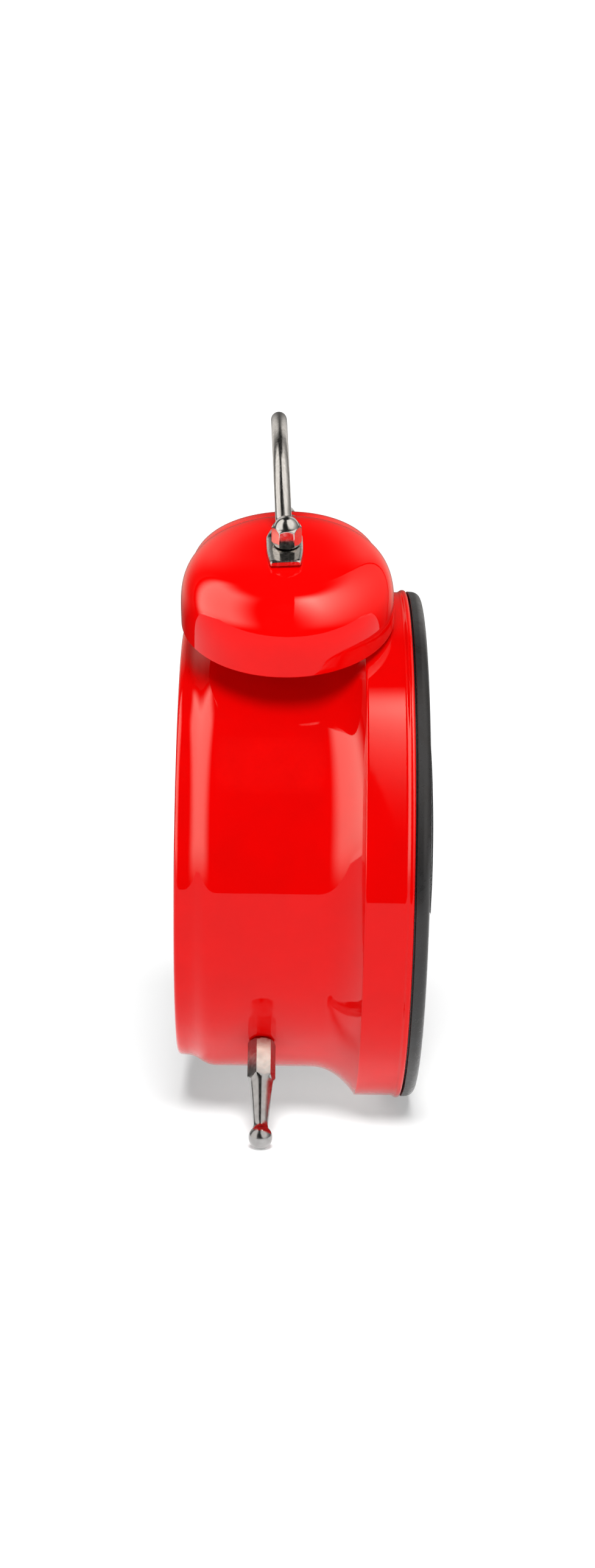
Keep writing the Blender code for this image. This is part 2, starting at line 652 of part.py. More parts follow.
def make_motion_work():
    """Wheels that turn the hands: cannon, transmission, hour and alarm wheels, setting arbors."""
    up = math.pi / 2
    setting_module = 2 * SETTING_DISTANCE / (SETTING_TEETH[0] + SETTING_TEETH[1])
    cannon_module = 2 * TRANSMISSION_DISTANCE / (CANNON_TEETH[0] + CANNON_TEETH[1])
    hour_module = 2 * TRANSMISSION_DISTANCE / (HOUR_TEETH[0] + HOUR_TEETH[1])
    make_wheel("minute_cannon", BRASS, (0, 0), [
        (gear_outline(SETTING_TEETH[0], setting_module), 7.2, 8.2),
        (gear_outline(CANNON_TEETH[0], cannon_module, up), 8.0, 10.2),
        (circle(CANNON_RADII[1], 16), 10.0, 19.6)], bore=CANNON_RADII[0])
    wheel_phase = meshing_phase(CANNON_TEETH[1], up, CANNON_TEETH[0], up)
    make_wheel("transmission_wheel", BRASS, (0, TRANSMISSION_DISTANCE), [
        (gear_outline(CANNON_TEETH[1], cannon_module, wheel_phase), 8.7, 9.7),
        (gear_outline(HOUR_TEETH[0], hour_module, -up), 9.5, 11.3),
        (circle(0.6, 10), 7.4, 12.6)])
    hour_phase = meshing_phase(HOUR_TEETH[1], -up, HOUR_TEETH[0], -up)
    make_wheel("hour_wheel", BRASS, (0, 0), [
        (gear_outline(HOUR_TEETH[1], hour_module, hour_phase), 10.5, 11.1),
        (circle(HOUR_TUBE_RADII[1], 16), 10.9, 18.2)], bore=HOUR_TUBE_RADII[0])
    make_wheel("alarm_wheel", BRASS, (0, 0), [
        (gear_outline(SETTING_TEETH[0], setting_module, ALARM_KNOB_ANGLE), 11.5, 12.5),
        (circle(ALARM_TUBE_RADII[1], 18), 12.3, 16.6)], bore=ALARM_TUBE_RADII[0])
    arbors = (("time_set_arbor", TIME_KNOB_ANGLE, 0.0, 7.2, 8.2),
              ("alarm_set_arbor", ALARM_KNOB_ANGLE, ALARM_KNOB_ANGLE, 11.5, 12.5))
    for name, angle, wheel_tooth, low, high in arbors:
        phase = meshing_phase(SETTING_TEETH[1], angle, SETTING_TEETH[0], wheel_tooth)
        make_wheel(name, BRASS, polar(SETTING_DISTANCE, angle), [
            (gear_outline(SETTING_TEETH[1], setting_module, phase), low, high),
            (circle(1.0, 12), -25.2, high - 0.2)])


def make_going_train():
    """Stepping motor and the wheels from it to the second hand and on to the centre wheel."""
    third_angle, step_angle, rotor_angle = math.radians(-61), math.radians(201), math.radians(231)
    inward = third_angle + math.pi
    third = polar(THIRD_DISTANCE, third_angle)
    step = polar(STEP_DISTANCE, step_angle)
    rotor = tuple(a + b for a, b in zip(step, polar(ROTOR_DISTANCE, rotor_angle)))
    third_module = 2 * THIRD_DISTANCE / (THIRD_TEETH[0] + THIRD_TEETH[1])
    center_module = 2 * THIRD_DISTANCE / (CENTER_TEETH[0] + CENTER_TEETH[1])
    second_module = 2 * STEP_DISTANCE / (SECOND_TEETH[0] + SECOND_TEETH[1])
    step_module = 2 * ROTOR_DISTANCE / (STEP_TEETH[0] + STEP_TEETH[1])
    make_wheel("second_wheel", BRASS, (0, 0), [
        (gear_outline(SECOND_TEETH[1], second_module), 2.4, 3.4),
        (gear_outline(THIRD_TEETH[0], third_module, third_angle), 3.2, 5.2),
        (circle(SECOND_ARBOR_RADIUS, 10), 0.7, 21.0)])
    third_phase = meshing_phase(THIRD_TEETH[1], third_angle, THIRD_TEETH[0], third_angle)
    make_wheel("third_wheel", BRASS, third, [
        (gear_outline(THIRD_TEETH[1], third_module, third_phase), 4.0, 4.8),
        (gear_outline(CENTER_TEETH[0], center_module, inward), 4.6, 6.8),
        (circle(0.5, 10), 0.7, 6.9)])
    center_phase = meshing_phase(CENTER_TEETH[1], inward, CENTER_TEETH[0], inward)
    make_wheel("center_wheel", BRASS, (0, 0), [
        (gear_outline(CENTER_TEETH[1], center_module, center_phase), 5.6, 6.6),
        (circle(1.9, 14), 5.5, 6.9)], bore=0.85)
    step_phase = meshing_phase(SECOND_TEETH[0], step_angle, SECOND_TEETH[1], 0.0)
    make_wheel("step_wheel", WHITE, step, [
        (gear_outline(STEP_TEETH[1], step_module, rotor_angle), 1.2, 2.0),
        (gear_outline(SECOND_TEETH[0], second_module, step_phase), 1.8, 3.6),
        (circle(0.4, 10), 0.7, 5.0)])
    rotor_phase = meshing_phase(STEP_TEETH[0], rotor_angle, STEP_TEETH[1], rotor_angle)
    make_wheel("rotor", STEEL, rotor, [
        (circle(2.9, 20), 3.2, 6.2), (gear_outline(STEP_TEETH[0], step_module, rotor_phase), 1.0, 2.4),
        (circle(0.4, 10), 2.2, 8.0)])
    legs = [(-22.5, -21.5), (-18.6, -21.5), (-18.6, -14.5), (-8.4, -14.5), (-8.4, -21.5),
            (-4.8, -21.5), (-4.8, -4.2), (-22.5, -4.2)]
    frame = plate(legs, 4.4, 5.4, [circle(3.5, 24, rotor)])
    add("stator", frame, STEEL, CASE)
    coil = add("drive_coil", cylinder(2.7, -18.2, -8.8, 16, "X"), COPPER, CASE, (0, -18.5, 4.9))
    soften(coil, 0.3)


def make_movement_case():
    """Two-part plastic box round the wheels, let into the chassis."""
    half, skin = MOVEMENT_HALF, 1.1
    housing = add("movement_housing", box((-half, -half, 0.6), (half, half, 14.0)), WHITE, CASE)
    cut(housing, box((-half + skin, -half + skin, -2), (half - skin, half - skin, 12.9)))
    cut(housing, cylinder(DIAL_HOLE_RADIUS, 10, 16, 20))
    square = [(-half, -half), (half, -half), (half, half), (-half, half)]
    holes = [circle(1.4, 12, polar(SETTING_DISTANCE, a)) for a in (TIME_KNOB_ANGLE, ALARM_KNOB_ANGLE)]
    add("movement_cover", plate(square, -0.9, 0.3, holes), WHITE, CASE)
    add("circuit_board", box((-23.0, -11.0, -2.8), (23.0, 2.0, -1.4)), BOARD, CASE)


def hand_outline(length, root, tip, tail, tail_width):
    """A tapering hand pointing up, with a counterweight below its hub."""
    return [(root, 0), (tip, length), (0, length + 2.5), (-tip, length), (-root, 0),
            (-tail_width, -tail), (tail_width, -tail)]


def make_hands():
    """Hands at ten past ten, each round its own tube."""
    sets = (
        ("alarm_hand", BRASS, (15.9, 16.3), ALARM_TUBE_RADII[1] + 0.3, 4.6, (22, 1.0, 0.5), -180.0),
        ("hour_hand", HAND_BLACK, (17.3, 17.8), HOUR_TUBE_RADII[1] + 0.3, 4.0, (25, 1.7, 1.2), -305.0),
        ("minute_hand", HAND_BLACK, (18.8, 19.3), CANNON_RADII[1] + 0.3, 3.4, (38, 1.5, 0.9), -60.0),
        ("second_hand", HAND_RED, (20.3, 20.7), SECOND_ARBOR_RADIUS + 0.3, 2.4, (41, 0.5, 0.3), -210.0))
    for name, look, (low, high), bore, collar, (length, root, tip), turn in sets:
        tail = 9.0 if name == "second_hand" else 5.0
        pointer = plate(hand_outline(length, root, tip, tail, root * 0.9), low, high)
        hand = add(name, pointer, look, CASE)
        hand.rotation_euler.z = math.radians(turn)
        fuse(hand, plate(circle(collar, 16), low, high + 0.15))
        cut(hand, cylinder(bore, 10, 26, 16))


# ---------------------------------------------------------------- striker

def make_striker():
    """Electromagnet, its frame and the hammer that swings between the bells."""
    front, back = -1.5, -17.2
    channel = [(12.0, front), (39.0, front), (39.0, front - 1.0), (13.0, front - 1.0),
               (13.0, back + 1.0), (39.0, back + 1.0), (39.0, back), (12.0, back)]
    section = Matrix(((0, 0, 1, 0), (1, 0, 0, 0), (0, 1, 0, 0), (0, 0, 0, 1)))
    bend = frame_empty("striker_section", section, CASE)
    frame = add("striker_frame", plate(channel, -7.0, 17.5), STEEL, bend)
    pivot = (0, HAMMER_PIVOT_UP, 0)
    cut(frame, cylinder(1.0, -19, 1, 14), pivot, parent=CASE)
    pin = [(0, front + 0.3), (0.7, front + 0.3), (0.7, back - 0.3), (0, back - 0.3)]
    turned("hammer_pivot", pin, STEEL, CASE, pivot, steps=12)
    coil = add("striker_coil", cylinder(5.6, 3.2, 16.5, 20, "X"), COPPER, CASE, (0, 24.0, -9.4))
    fuse(coil, cylinder(2.0, 2.2, 4.0, 14, "X"), (0, 24.0, -9.4))
    hub = plate(circle(2.3, 16), -15.6, -3.1)
    lever = add("hammer_lever", hub, STEEL, CASE, pivot)
    fuse(lever, box((-0.9, 17.5, -14.2), (0.5, HAMMER_PIVOT_UP - 1.2, -4.6)))
    fuse(lever, cylinder(1.6, HAMMER_PIVOT_UP + 1.6, HAMMER_PIVOT_UP + 5.5, 12, "Y"),
         (0, 0, BELL_PLANE))
    cut(lever, cylinder(1.0, -20, 0, 14), pivot)
    cut(lever, cylinder(HAMMER_WIRE_RADIUS + 0.3, HAMMER_PIVOT_UP + 3.2, 50, 12, "Y"),
        (0, 0, BELL_PLANE))
    arm = frame_empty("hammer_axis", Matrix.Translation((0, HAMMER_PIVOT_UP, BELL_PLANE)), CASE)
    reach = HAMMER_HEAD_UP - HAMMER_PIVOT_UP
    wire = cylinder(HAMMER_WIRE_RADIUS, 3.5, reach, 10, "Y")
    add("hammer_arm", wire, STEEL, arm)
    head = add("hammer_head", ball(HAMMER_HEAD_RADIUS), CHROME, arm, (0, reach, 0))
    cut(head, cylinder(HAMMER_WIRE_RADIUS + 0.3, -8, 0.3, 12, "Y"), (0, reach, 0))


# ---------------------------------------------------------------- assembly

clear_scene()
CLOCK = collection("alarm_clock")
CUTTERS = collection("cutters")

CASE = frame_empty(
    "case_axis", Matrix.Translation((0, 0, AXIS_HEIGHT)) @ Matrix.Rotation(math.pi / 2, 4, "X"))
BELL_GROUP = frame_empty(
    "bell_lean",
    Matrix.Translation((0, BELL_LEVEL, BELL_PLANE)) @ Matrix.Rotation(-BELL_LEAN, 4, "X")
    @ Matrix.Translation((0, -BELL_LEVEL, 0)), CASE)
UPRIGHT = Matrix.Rotation(-math.pi / 2, 4, "X")
SEATS = {}
LEGS = {}
for side_name, sign in (("left", -1), ("right", 1)):
    seat_spot = Matrix.Translation((sign * BELL_OFFSET, BELL_LEVEL, 0))
    SEATS[side_name] = frame_empty(
        "bell_seat_" + side_name,
        seat_spot @ Matrix.Rotation(-sign * BELL_TILT, 4, "Z") @ UPRIGHT, BELL_GROUP)
    LEGS[side_name] = frame_empty(
        "leg_axis_" + side_name,
        Matrix.Translation((0, 0, LEG_PLANE))
        @ Matrix.Rotation(sign * (LEG_ANGLE - math.pi), 4, "Z") @ UPRIGHT, CASE)

make_case()
make_front()
make_chassis()
make_rear_cover()
make_battery()
make_battery_door()
make_rear_screws()
make_controls()
make_bells()
make_posts_and_nuts()
make_handle()
make_legs()
make_motion_work()
make_going_train()
make_movement_case()
make_hands()
make_striker()
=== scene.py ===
"""Looks of the twin-bell alarm clock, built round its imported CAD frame.

World frame: metres, +Z up, the dial faces -Y. Shapes are written in millimetres in the case frame,
whose origin is on the case's axis: x to the right, y up from the axis, z towards the front.
"""

import json
import math

import bmesh
import bpy
from mathutils import Matrix, Vector

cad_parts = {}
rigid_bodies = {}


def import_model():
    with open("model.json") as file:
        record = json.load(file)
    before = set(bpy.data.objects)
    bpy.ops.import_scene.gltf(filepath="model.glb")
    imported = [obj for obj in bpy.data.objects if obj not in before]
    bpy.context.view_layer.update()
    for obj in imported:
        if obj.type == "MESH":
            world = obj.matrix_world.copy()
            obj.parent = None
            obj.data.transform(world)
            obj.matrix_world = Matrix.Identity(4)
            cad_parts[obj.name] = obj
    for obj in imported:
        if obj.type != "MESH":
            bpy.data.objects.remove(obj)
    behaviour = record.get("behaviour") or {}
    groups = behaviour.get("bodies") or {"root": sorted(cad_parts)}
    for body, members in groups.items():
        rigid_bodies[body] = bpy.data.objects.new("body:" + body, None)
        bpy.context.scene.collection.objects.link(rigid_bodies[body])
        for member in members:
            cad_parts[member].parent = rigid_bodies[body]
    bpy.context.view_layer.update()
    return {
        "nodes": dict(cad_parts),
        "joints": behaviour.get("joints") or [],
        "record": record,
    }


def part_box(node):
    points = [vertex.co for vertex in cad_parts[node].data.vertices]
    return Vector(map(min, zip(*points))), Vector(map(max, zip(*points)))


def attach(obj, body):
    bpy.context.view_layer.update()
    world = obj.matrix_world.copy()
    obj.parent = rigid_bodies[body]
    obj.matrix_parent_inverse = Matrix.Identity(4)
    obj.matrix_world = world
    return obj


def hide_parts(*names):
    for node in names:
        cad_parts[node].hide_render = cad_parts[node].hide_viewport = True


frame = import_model()

MM = 0.001
JOINTS = {joint["name"]: joint for joint in frame["joints"]}


# ---------------------------------------------------------------- places, from the frame

def node_place(name):
    """Middle and half size of a CAD node, in millimetres in the case frame."""
    low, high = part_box(name)
    middle = CASE.inverted() @ ((low + high) / 2)
    half = (high - low) / 2
    return middle / MM, Vector((half.x, half.z, half.y)) / MM


def joint_spot(name):
    """Where a joint's axis stands, as (x, y) in millimetres in the case frame."""
    spot = CASE.inverted() @ Vector(JOINTS[name]["pos_m"])
    return (spot.x / MM, spot.y / MM)


def turned_frame(parent, move=(0, 0, 0), *turns):
    """A frame moved in its parent, in millimetres, then turned about each (axis, angle)."""
    place = parent @ Matrix.Translation(Vector(move) * MM)
    for axis, angle in turns:
        place = place @ Matrix.Rotation(angle, 4, axis)
    return place


AXIS_SPOT = Vector(JOINTS["second_hand_turn"]["pos_m"])
CASE = Matrix.Translation((0, 0, AXIS_SPOT.z)) @ Matrix.Rotation(math.pi / 2, 4, "X")

RIM_LIP_RADIUS = node_place("case_shell")[1].x
REAR_PLANE = node_place("case_shell")[0].z - node_place("case_shell")[1].z
FRONT_TIP = node_place("lens")[0].z + node_place("lens")[1].z
BARREL_RADIUS = 50.7
FRONT_RIM_RADIUS = 56.9
FLANGE_RADIUS = 48.35
RIM_FRONT = 21.4
CASE_WALL = 1.0

BELL_RADIUS = 22.8
BELL_HEIGHT = 17.0
BELL_WALL = 1.0
BELL_SHAPE = 3.9
BELL_TILT = math.radians(28.2)
BELL_LEAN = math.radians(1.8)
BELL_OFFSET = 23.0
BELL_LEVEL = 52.5
BELL_PLANE = -5.1
POST_RADIUS = 1.5
STUD_BORE = 1.9             # holes in the case and the handle, for posts and legs

HANDLE_TOP = 95.5
HANDLE_LEAN = math.radians(1.5)
HANDLE_SHIFT = 0.45
WIRE_RADIUS = 1.75
EYE_HALF_WIDTH = 3.85
EYE_HALF_THICKNESS = 0.65
EYE_REACH = 7.1
EYE_NARROWING = 0.7
EYE_END = 3.0               # from here the flat eye rounds into the wire,
EYE_BLEND = 5.0             # over this length
NUT_FLATS = 5.5
NUT_HEX_HEIGHT = 4.25
NUT_DOME_RADIUS = 2.7
NUT_DOME_CENTRE = 3.5
NUT_TURN = math.radians(30)

LEG_PLANE = -9.4
LEG_REACH = 73.2
LEG_BALL_RADIUS = 2.53
LEG_HEX_END = 60.3
LEG_HEX_FLATS = 5.25
LEG_HEX_TURN = math.radians(20.6)
LEG_ANGLE = math.acos((AXIS_SPOT.z / MM - LEG_BALL_RADIUS) / LEG_REACH)

BELL_GROUP = turned_frame(CASE, (0, BELL_LEVEL, BELL_PLANE), ("X", -BELL_LEAN))
BELL_GROUP = turned_frame(BELL_GROUP, (0, -BELL_LEVEL, 0))
UPRIGHT = ("X", -math.pi / 2)
SIDES = {"left": -1, "right": 1}
SEATS = {side: turned_frame(BELL_GROUP, (sign * BELL_OFFSET, BELL_LEVEL, 0),
                            ("Z", -sign * BELL_TILT), UPRIGHT) for side, sign in SIDES.items()}
LEGS = {side: turned_frame(CASE, (0, 0, LEG_PLANE), ("Z", sign * (LEG_ANGLE - math.pi)), UPRIGHT)
        for side, sign in SIDES.items()}


# ---------------------------------------------------------------- mesh helpers

def polar(radius, angle):
    return (radius * math.cos(angle), radius * math.sin(angle))


def circle(radius, count=64, middle=(0, 0)):
    turns = [2 * math.pi * i / count for i in range(count)]
    return [(middle[0] + radius * math.cos(t), middle[1] + radius * math.sin(t)) for t in turns]


def eased(points, closed=False, pieces=5):
    """Round a profile's corners. Each point is (across, along) or (across, along, ease)."""
    path = []
    count = len(points)
    for i, point in enumerate(points):
        here = Vector(point[:2])
        ease = point[2] if len(point) > 2 else 0
        if not ease or (not closed and i in (0, count - 1)):
            path.append(tuple(here))
            continue
        before = Vector(points[i - 1][:2]) - here
        after = Vector(points[(i + 1) % count][:2]) - here
        start = here + before.normalized() * min(ease, before.length * 0.49)
        end = here + after.normalized() * min(ease, after.length * 0.49)
        for k in range(pieces + 1):
            t = k / pieces
            path.append(tuple((1 - t) ** 2 * start + 2 * t * (1 - t) * here + t * t * end))
    return path


def to_mesh(shape, name, sharp=32):
    mesh = bpy.data.meshes.new(name)
    bmesh.ops.recalc_face_normals(shape, faces=shape.faces)
    shape.to_mesh(mesh)
    shape.free()
    mesh.shade_smooth()
    mesh.set_sharp_from_angle(angle=math.radians(sharp))
    return mesh


def lathe(profile, steps=144, closed=False):
    """Turn a (radius, height) profile about z."""
    shape = bmesh.new()
    rows = []
    for radius, height in profile:
        ring = [(0, 0)] if radius < 0.001 else circle(radius, steps)
        rows.append([shape.verts.new((x * MM, y * MM, height * MM)) for x, y in ring])
    pairs = list(zip(rows, rows[1:]))
    if closed:
        pairs.append((rows[-1], rows[0]))
    for near, far in pairs:
        for i in range(steps):
            j = (i + 1) % steps
            corners = (near[i % len(near)], near[j % len(near)], far[j % len(far)], far[i % len(far)])
            corners = list(dict.fromkeys(corners))
            if len(corners) > 2:
                shape.faces.new(corners)
    return to_mesh(shape, "turned")


def drill(radius, start, end, steps=32):
    """A plain round cutter along z."""
    return lathe([(0, start), (radius, start), (radius, end), (0, end)], steps)


def loft(rings, sharp=32):
    """Skin a row of equal rings of points, and close both ends."""
    shape = bmesh.new()
    rows = [[shape.verts.new(Vector(point) * MM) for point in ring] for ring in rings]
    count = len(rows[0])
    for near, far in zip(rows, rows[1:]):
        for i in range(count):
            j = (i + 1) % count
            shape.faces.new((near[i], near[j], far[j], far[i]))
    shape.faces.new(rows[0])
    shape.faces.new(rows[-1])
    return to_mesh(shape, "loft", sharp)


def prism(outline, low, high, bevel=0.0, segments=2):
    """A flat outline between two heights, with its rims rounded by bevel."""
    shape = bmesh.new()
    base = [shape.verts.new((x * MM, y * MM, low * MM)) for x, y in outline]
    bottom = shape.faces.new(base)
    lifted = bmesh.ops.extrude_face_region(shape, geom=[bottom])["geom"]
    top = [v for v in lifted if isinstance(v, bmesh.types.BMVert)]
    bmesh.ops.translate(shape, vec=(0, 0, (high - low) * MM), verts=top)
    shape.faces.ensure_lookup_table()
    if not [f for f in shape.faces if set(f.verts) == set(base)]:
        shape.faces.new(base)
    if bevel:
        rims = [e for e in shape.edges if abs(e.verts[0].co.z - e.verts[1].co.z) < 1e-7]
        bmesh.ops.bevel(shape, geom=rims, offset=bevel * MM, segments=segments, profile=0.5,
                        affect="EDGES", clamp_overlap=True)
    return to_mesh(shape, "prism")


def block(low, high, bevel=0.3):
    """A moulded block with rounded edges."""
    shape = bmesh.new()
    bmesh.ops.create_cube(shape, size=1.0)
    size = [(b - a) * MM for a, b in zip(low, high)]
    middle = [(b + a) / 2 * MM for a, b in zip(low, high)]
    bmesh.ops.scale(shape, vec=size, verts=shape.verts)
    bmesh.ops.translate(shape, vec=middle, verts=shape.verts)
    if bevel:
        bmesh.ops.bevel(shape, geom=list(shape.edges), offset=bevel * MM, segments=3, profile=0.5,
                        affect="EDGES", clamp_overlap=True)
    return to_mesh(shape, "block")


def moved(mesh, place):
    """The mesh itself, moved by (x, y, z) in millimetres or by a matrix."""
    if not isinstance(place, Matrix):
        place = Matrix.Translation(Vector(place) * MM)
    mesh.transform(place)
    return mesh


def worked(mesh, cuts=(), joins=()):
    """The mesh with other meshes joined on and then cut away."""
    body = bpy.data.objects.new("work", mesh)
    bpy.context.scene.collection.objects.link(body)
    tools = []
    for operation, group in (("UNION", joins), ("DIFFERENCE", cuts)):
        for tool_mesh in group:
            tool = bpy.data.objects.new("tool", tool_mesh)
            bpy.context.scene.collection.objects.link(tool)
            tools.append(tool)
            boolean = body.modifiers.new("work", "BOOLEAN")
            boolean.operation = operation
            boolean.solver = "EXACT"
            boolean.object = tool
    drawn = body.evaluated_get(bpy.context.evaluated_depsgraph_get())
    made = bpy.data.meshes.new_from_object(drawn)
    for tool in [body, *tools]:
        bpy.data.objects.remove(tool, do_unlink=True)
    made.shade_smooth()
    made.set_sharp_from_angle(angle=math.radians(32))
    return made


def piece(name, mesh, look, body="case", place=None, replaces=()):
    """Put a mesh in the scene with its material, riding on a CAD body."""
    made = bpy.data.objects.new(name, mesh)
    bpy.context.scene.collection.objects.link(made)
    made.matrix_world = CASE if place is None else place
    mesh.materials.clear()
    mesh.materials.append(LOOKS[look])
    even = made.modifiers.new("even_shading", "WEIGHTED_NORMAL")
    even.keep_sharp = True
    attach(made, body)
    if replaces:
        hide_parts(*replaces)
    return made


# ---------------------------------------------------------------- materials

def new_look(name, color, roughness, metallic=0.0, **sockets):
    look = bpy.data.materials.new(name)
    look.use_nodes = True
    shader = look.node_tree.nodes["Principled BSDF"]
    shader.inputs["Base Color"].default_value = (*color, 1.0)
    shader.inputs["Roughness"].default_value = roughness
    shader.inputs["Metallic"].default_value = metallic
    for socket, value in sockets.items():
        shader.inputs[socket.replace("_", " ")].default_value = value
    look.diffuse_color = (*color, 1.0)
    LOOKS[name] = look
    return look


def new_node(look, kind, **inputs):
    made = look.node_tree.nodes.new(kind)
    for socket, value in inputs.items():
        made.inputs[socket].default_value = value
    return made


def shader_of(look):
    return look.node_tree.nodes["Principled BSDF"]


def noise(look, size, stretch=(1, 1, 1), detail=3.0):
    """Noise whose lumps are size millimetres, in the piece's own coordinates."""
    links = look.node_tree.links
    place = new_node(look, "ShaderNodeTexCoord")
    mapping = new_node(look, "ShaderNodeMapping", Scale=stretch)
    made = new_node(look, "ShaderNodeTexNoise", Scale=1 / (size * MM), Detail=detail)
    links.new(place.outputs["Object"], mapping.inputs["Vector"])
    links.new(mapping.outputs["Vector"], made.inputs["Vector"])
    return made.outputs["Fac"]


def rings(look, pitch, direction="Z", kind="BANDS", sway=0.5):
    """Turning marks: bands every pitch millimetres along an axis of the piece."""
    links = look.node_tree.links
    place = new_node(look, "ShaderNodeTexCoord")
    wave = new_node(look, "ShaderNodeTexWave", Scale=WAVE_PITCH / (pitch * MM), Distortion=sway)
    wave.wave_type = kind
    if kind == "BANDS":
        wave.bands_direction = direction
    else:
        wave.rings_direction = direction
    links.new(place.outputs["Object"], wave.inputs["Vector"])
    return wave.outputs["Fac"]


def ranged(look, value, low, high):
    """The usual range of a noise, 0.3 to 0.7, stretched to low and high."""
    made = new_node(look, "ShaderNodeMapRange")
    made.inputs["From Min"].default_value = 0.3
    made.inputs["From Max"].default_value = 0.7
    made.inputs["To Min"].default_value = low
    made.inputs["To Max"].default_value = high
    look.node_tree.links.new(value, made.inputs["Value"])
    return made.outputs["Result"]


def uneven(look, size, low, high, stretch=(1, 1, 1)):
    """Roughness that wanders between low and high."""
    value = ranged(look, noise(look, size, stretch), low, high)
    look.node_tree.links.new(value, shader_of(look).inputs["Roughness"])


def mottled(look, size, other, stretch=(1, 1, 1)):
    """Base colour that wanders towards another colour."""
    mix = new_node(look, "ShaderNodeMix")
    mix.data_type = "RGBA"
    base = shader_of(look).inputs["Base Color"]
    colors = [socket for socket in mix.inputs if socket.type == "RGBA"]
    colors[0].default_value = base.default_value[:]
    colors[1].default_value = (*other, 1.0)
    links = look.node_tree.links
    links.new(ranged(look, noise(look, size, stretch), 0.0, 1.0), mix.inputs["Factor"])
    result = [socket for socket in mix.outputs if socket.type == "RGBA"][0]
    links.new(result, base)


def relief(look, value, depth, coat=False):
    """Surface relief of a given depth in millimetres, on top of what is there."""
    tree = look.node_tree
    bump = new_node(look, "ShaderNodeBump", Strength=1.0, Distance=depth * MM)
    target = shader_of(look).inputs["Coat Normal" if coat else "Normal"]
    if target.is_linked:
        tree.links.new(target.links[0].from_socket, bump.inputs["Normal"])
    tree.links.new(value, bump.inputs["Height"])
    tree.links.new(bump.outputs["Normal"], target)


LOOKS = {}
WAVE_PITCH = 0.314          # metres between the bands of a wave texture of scale 1


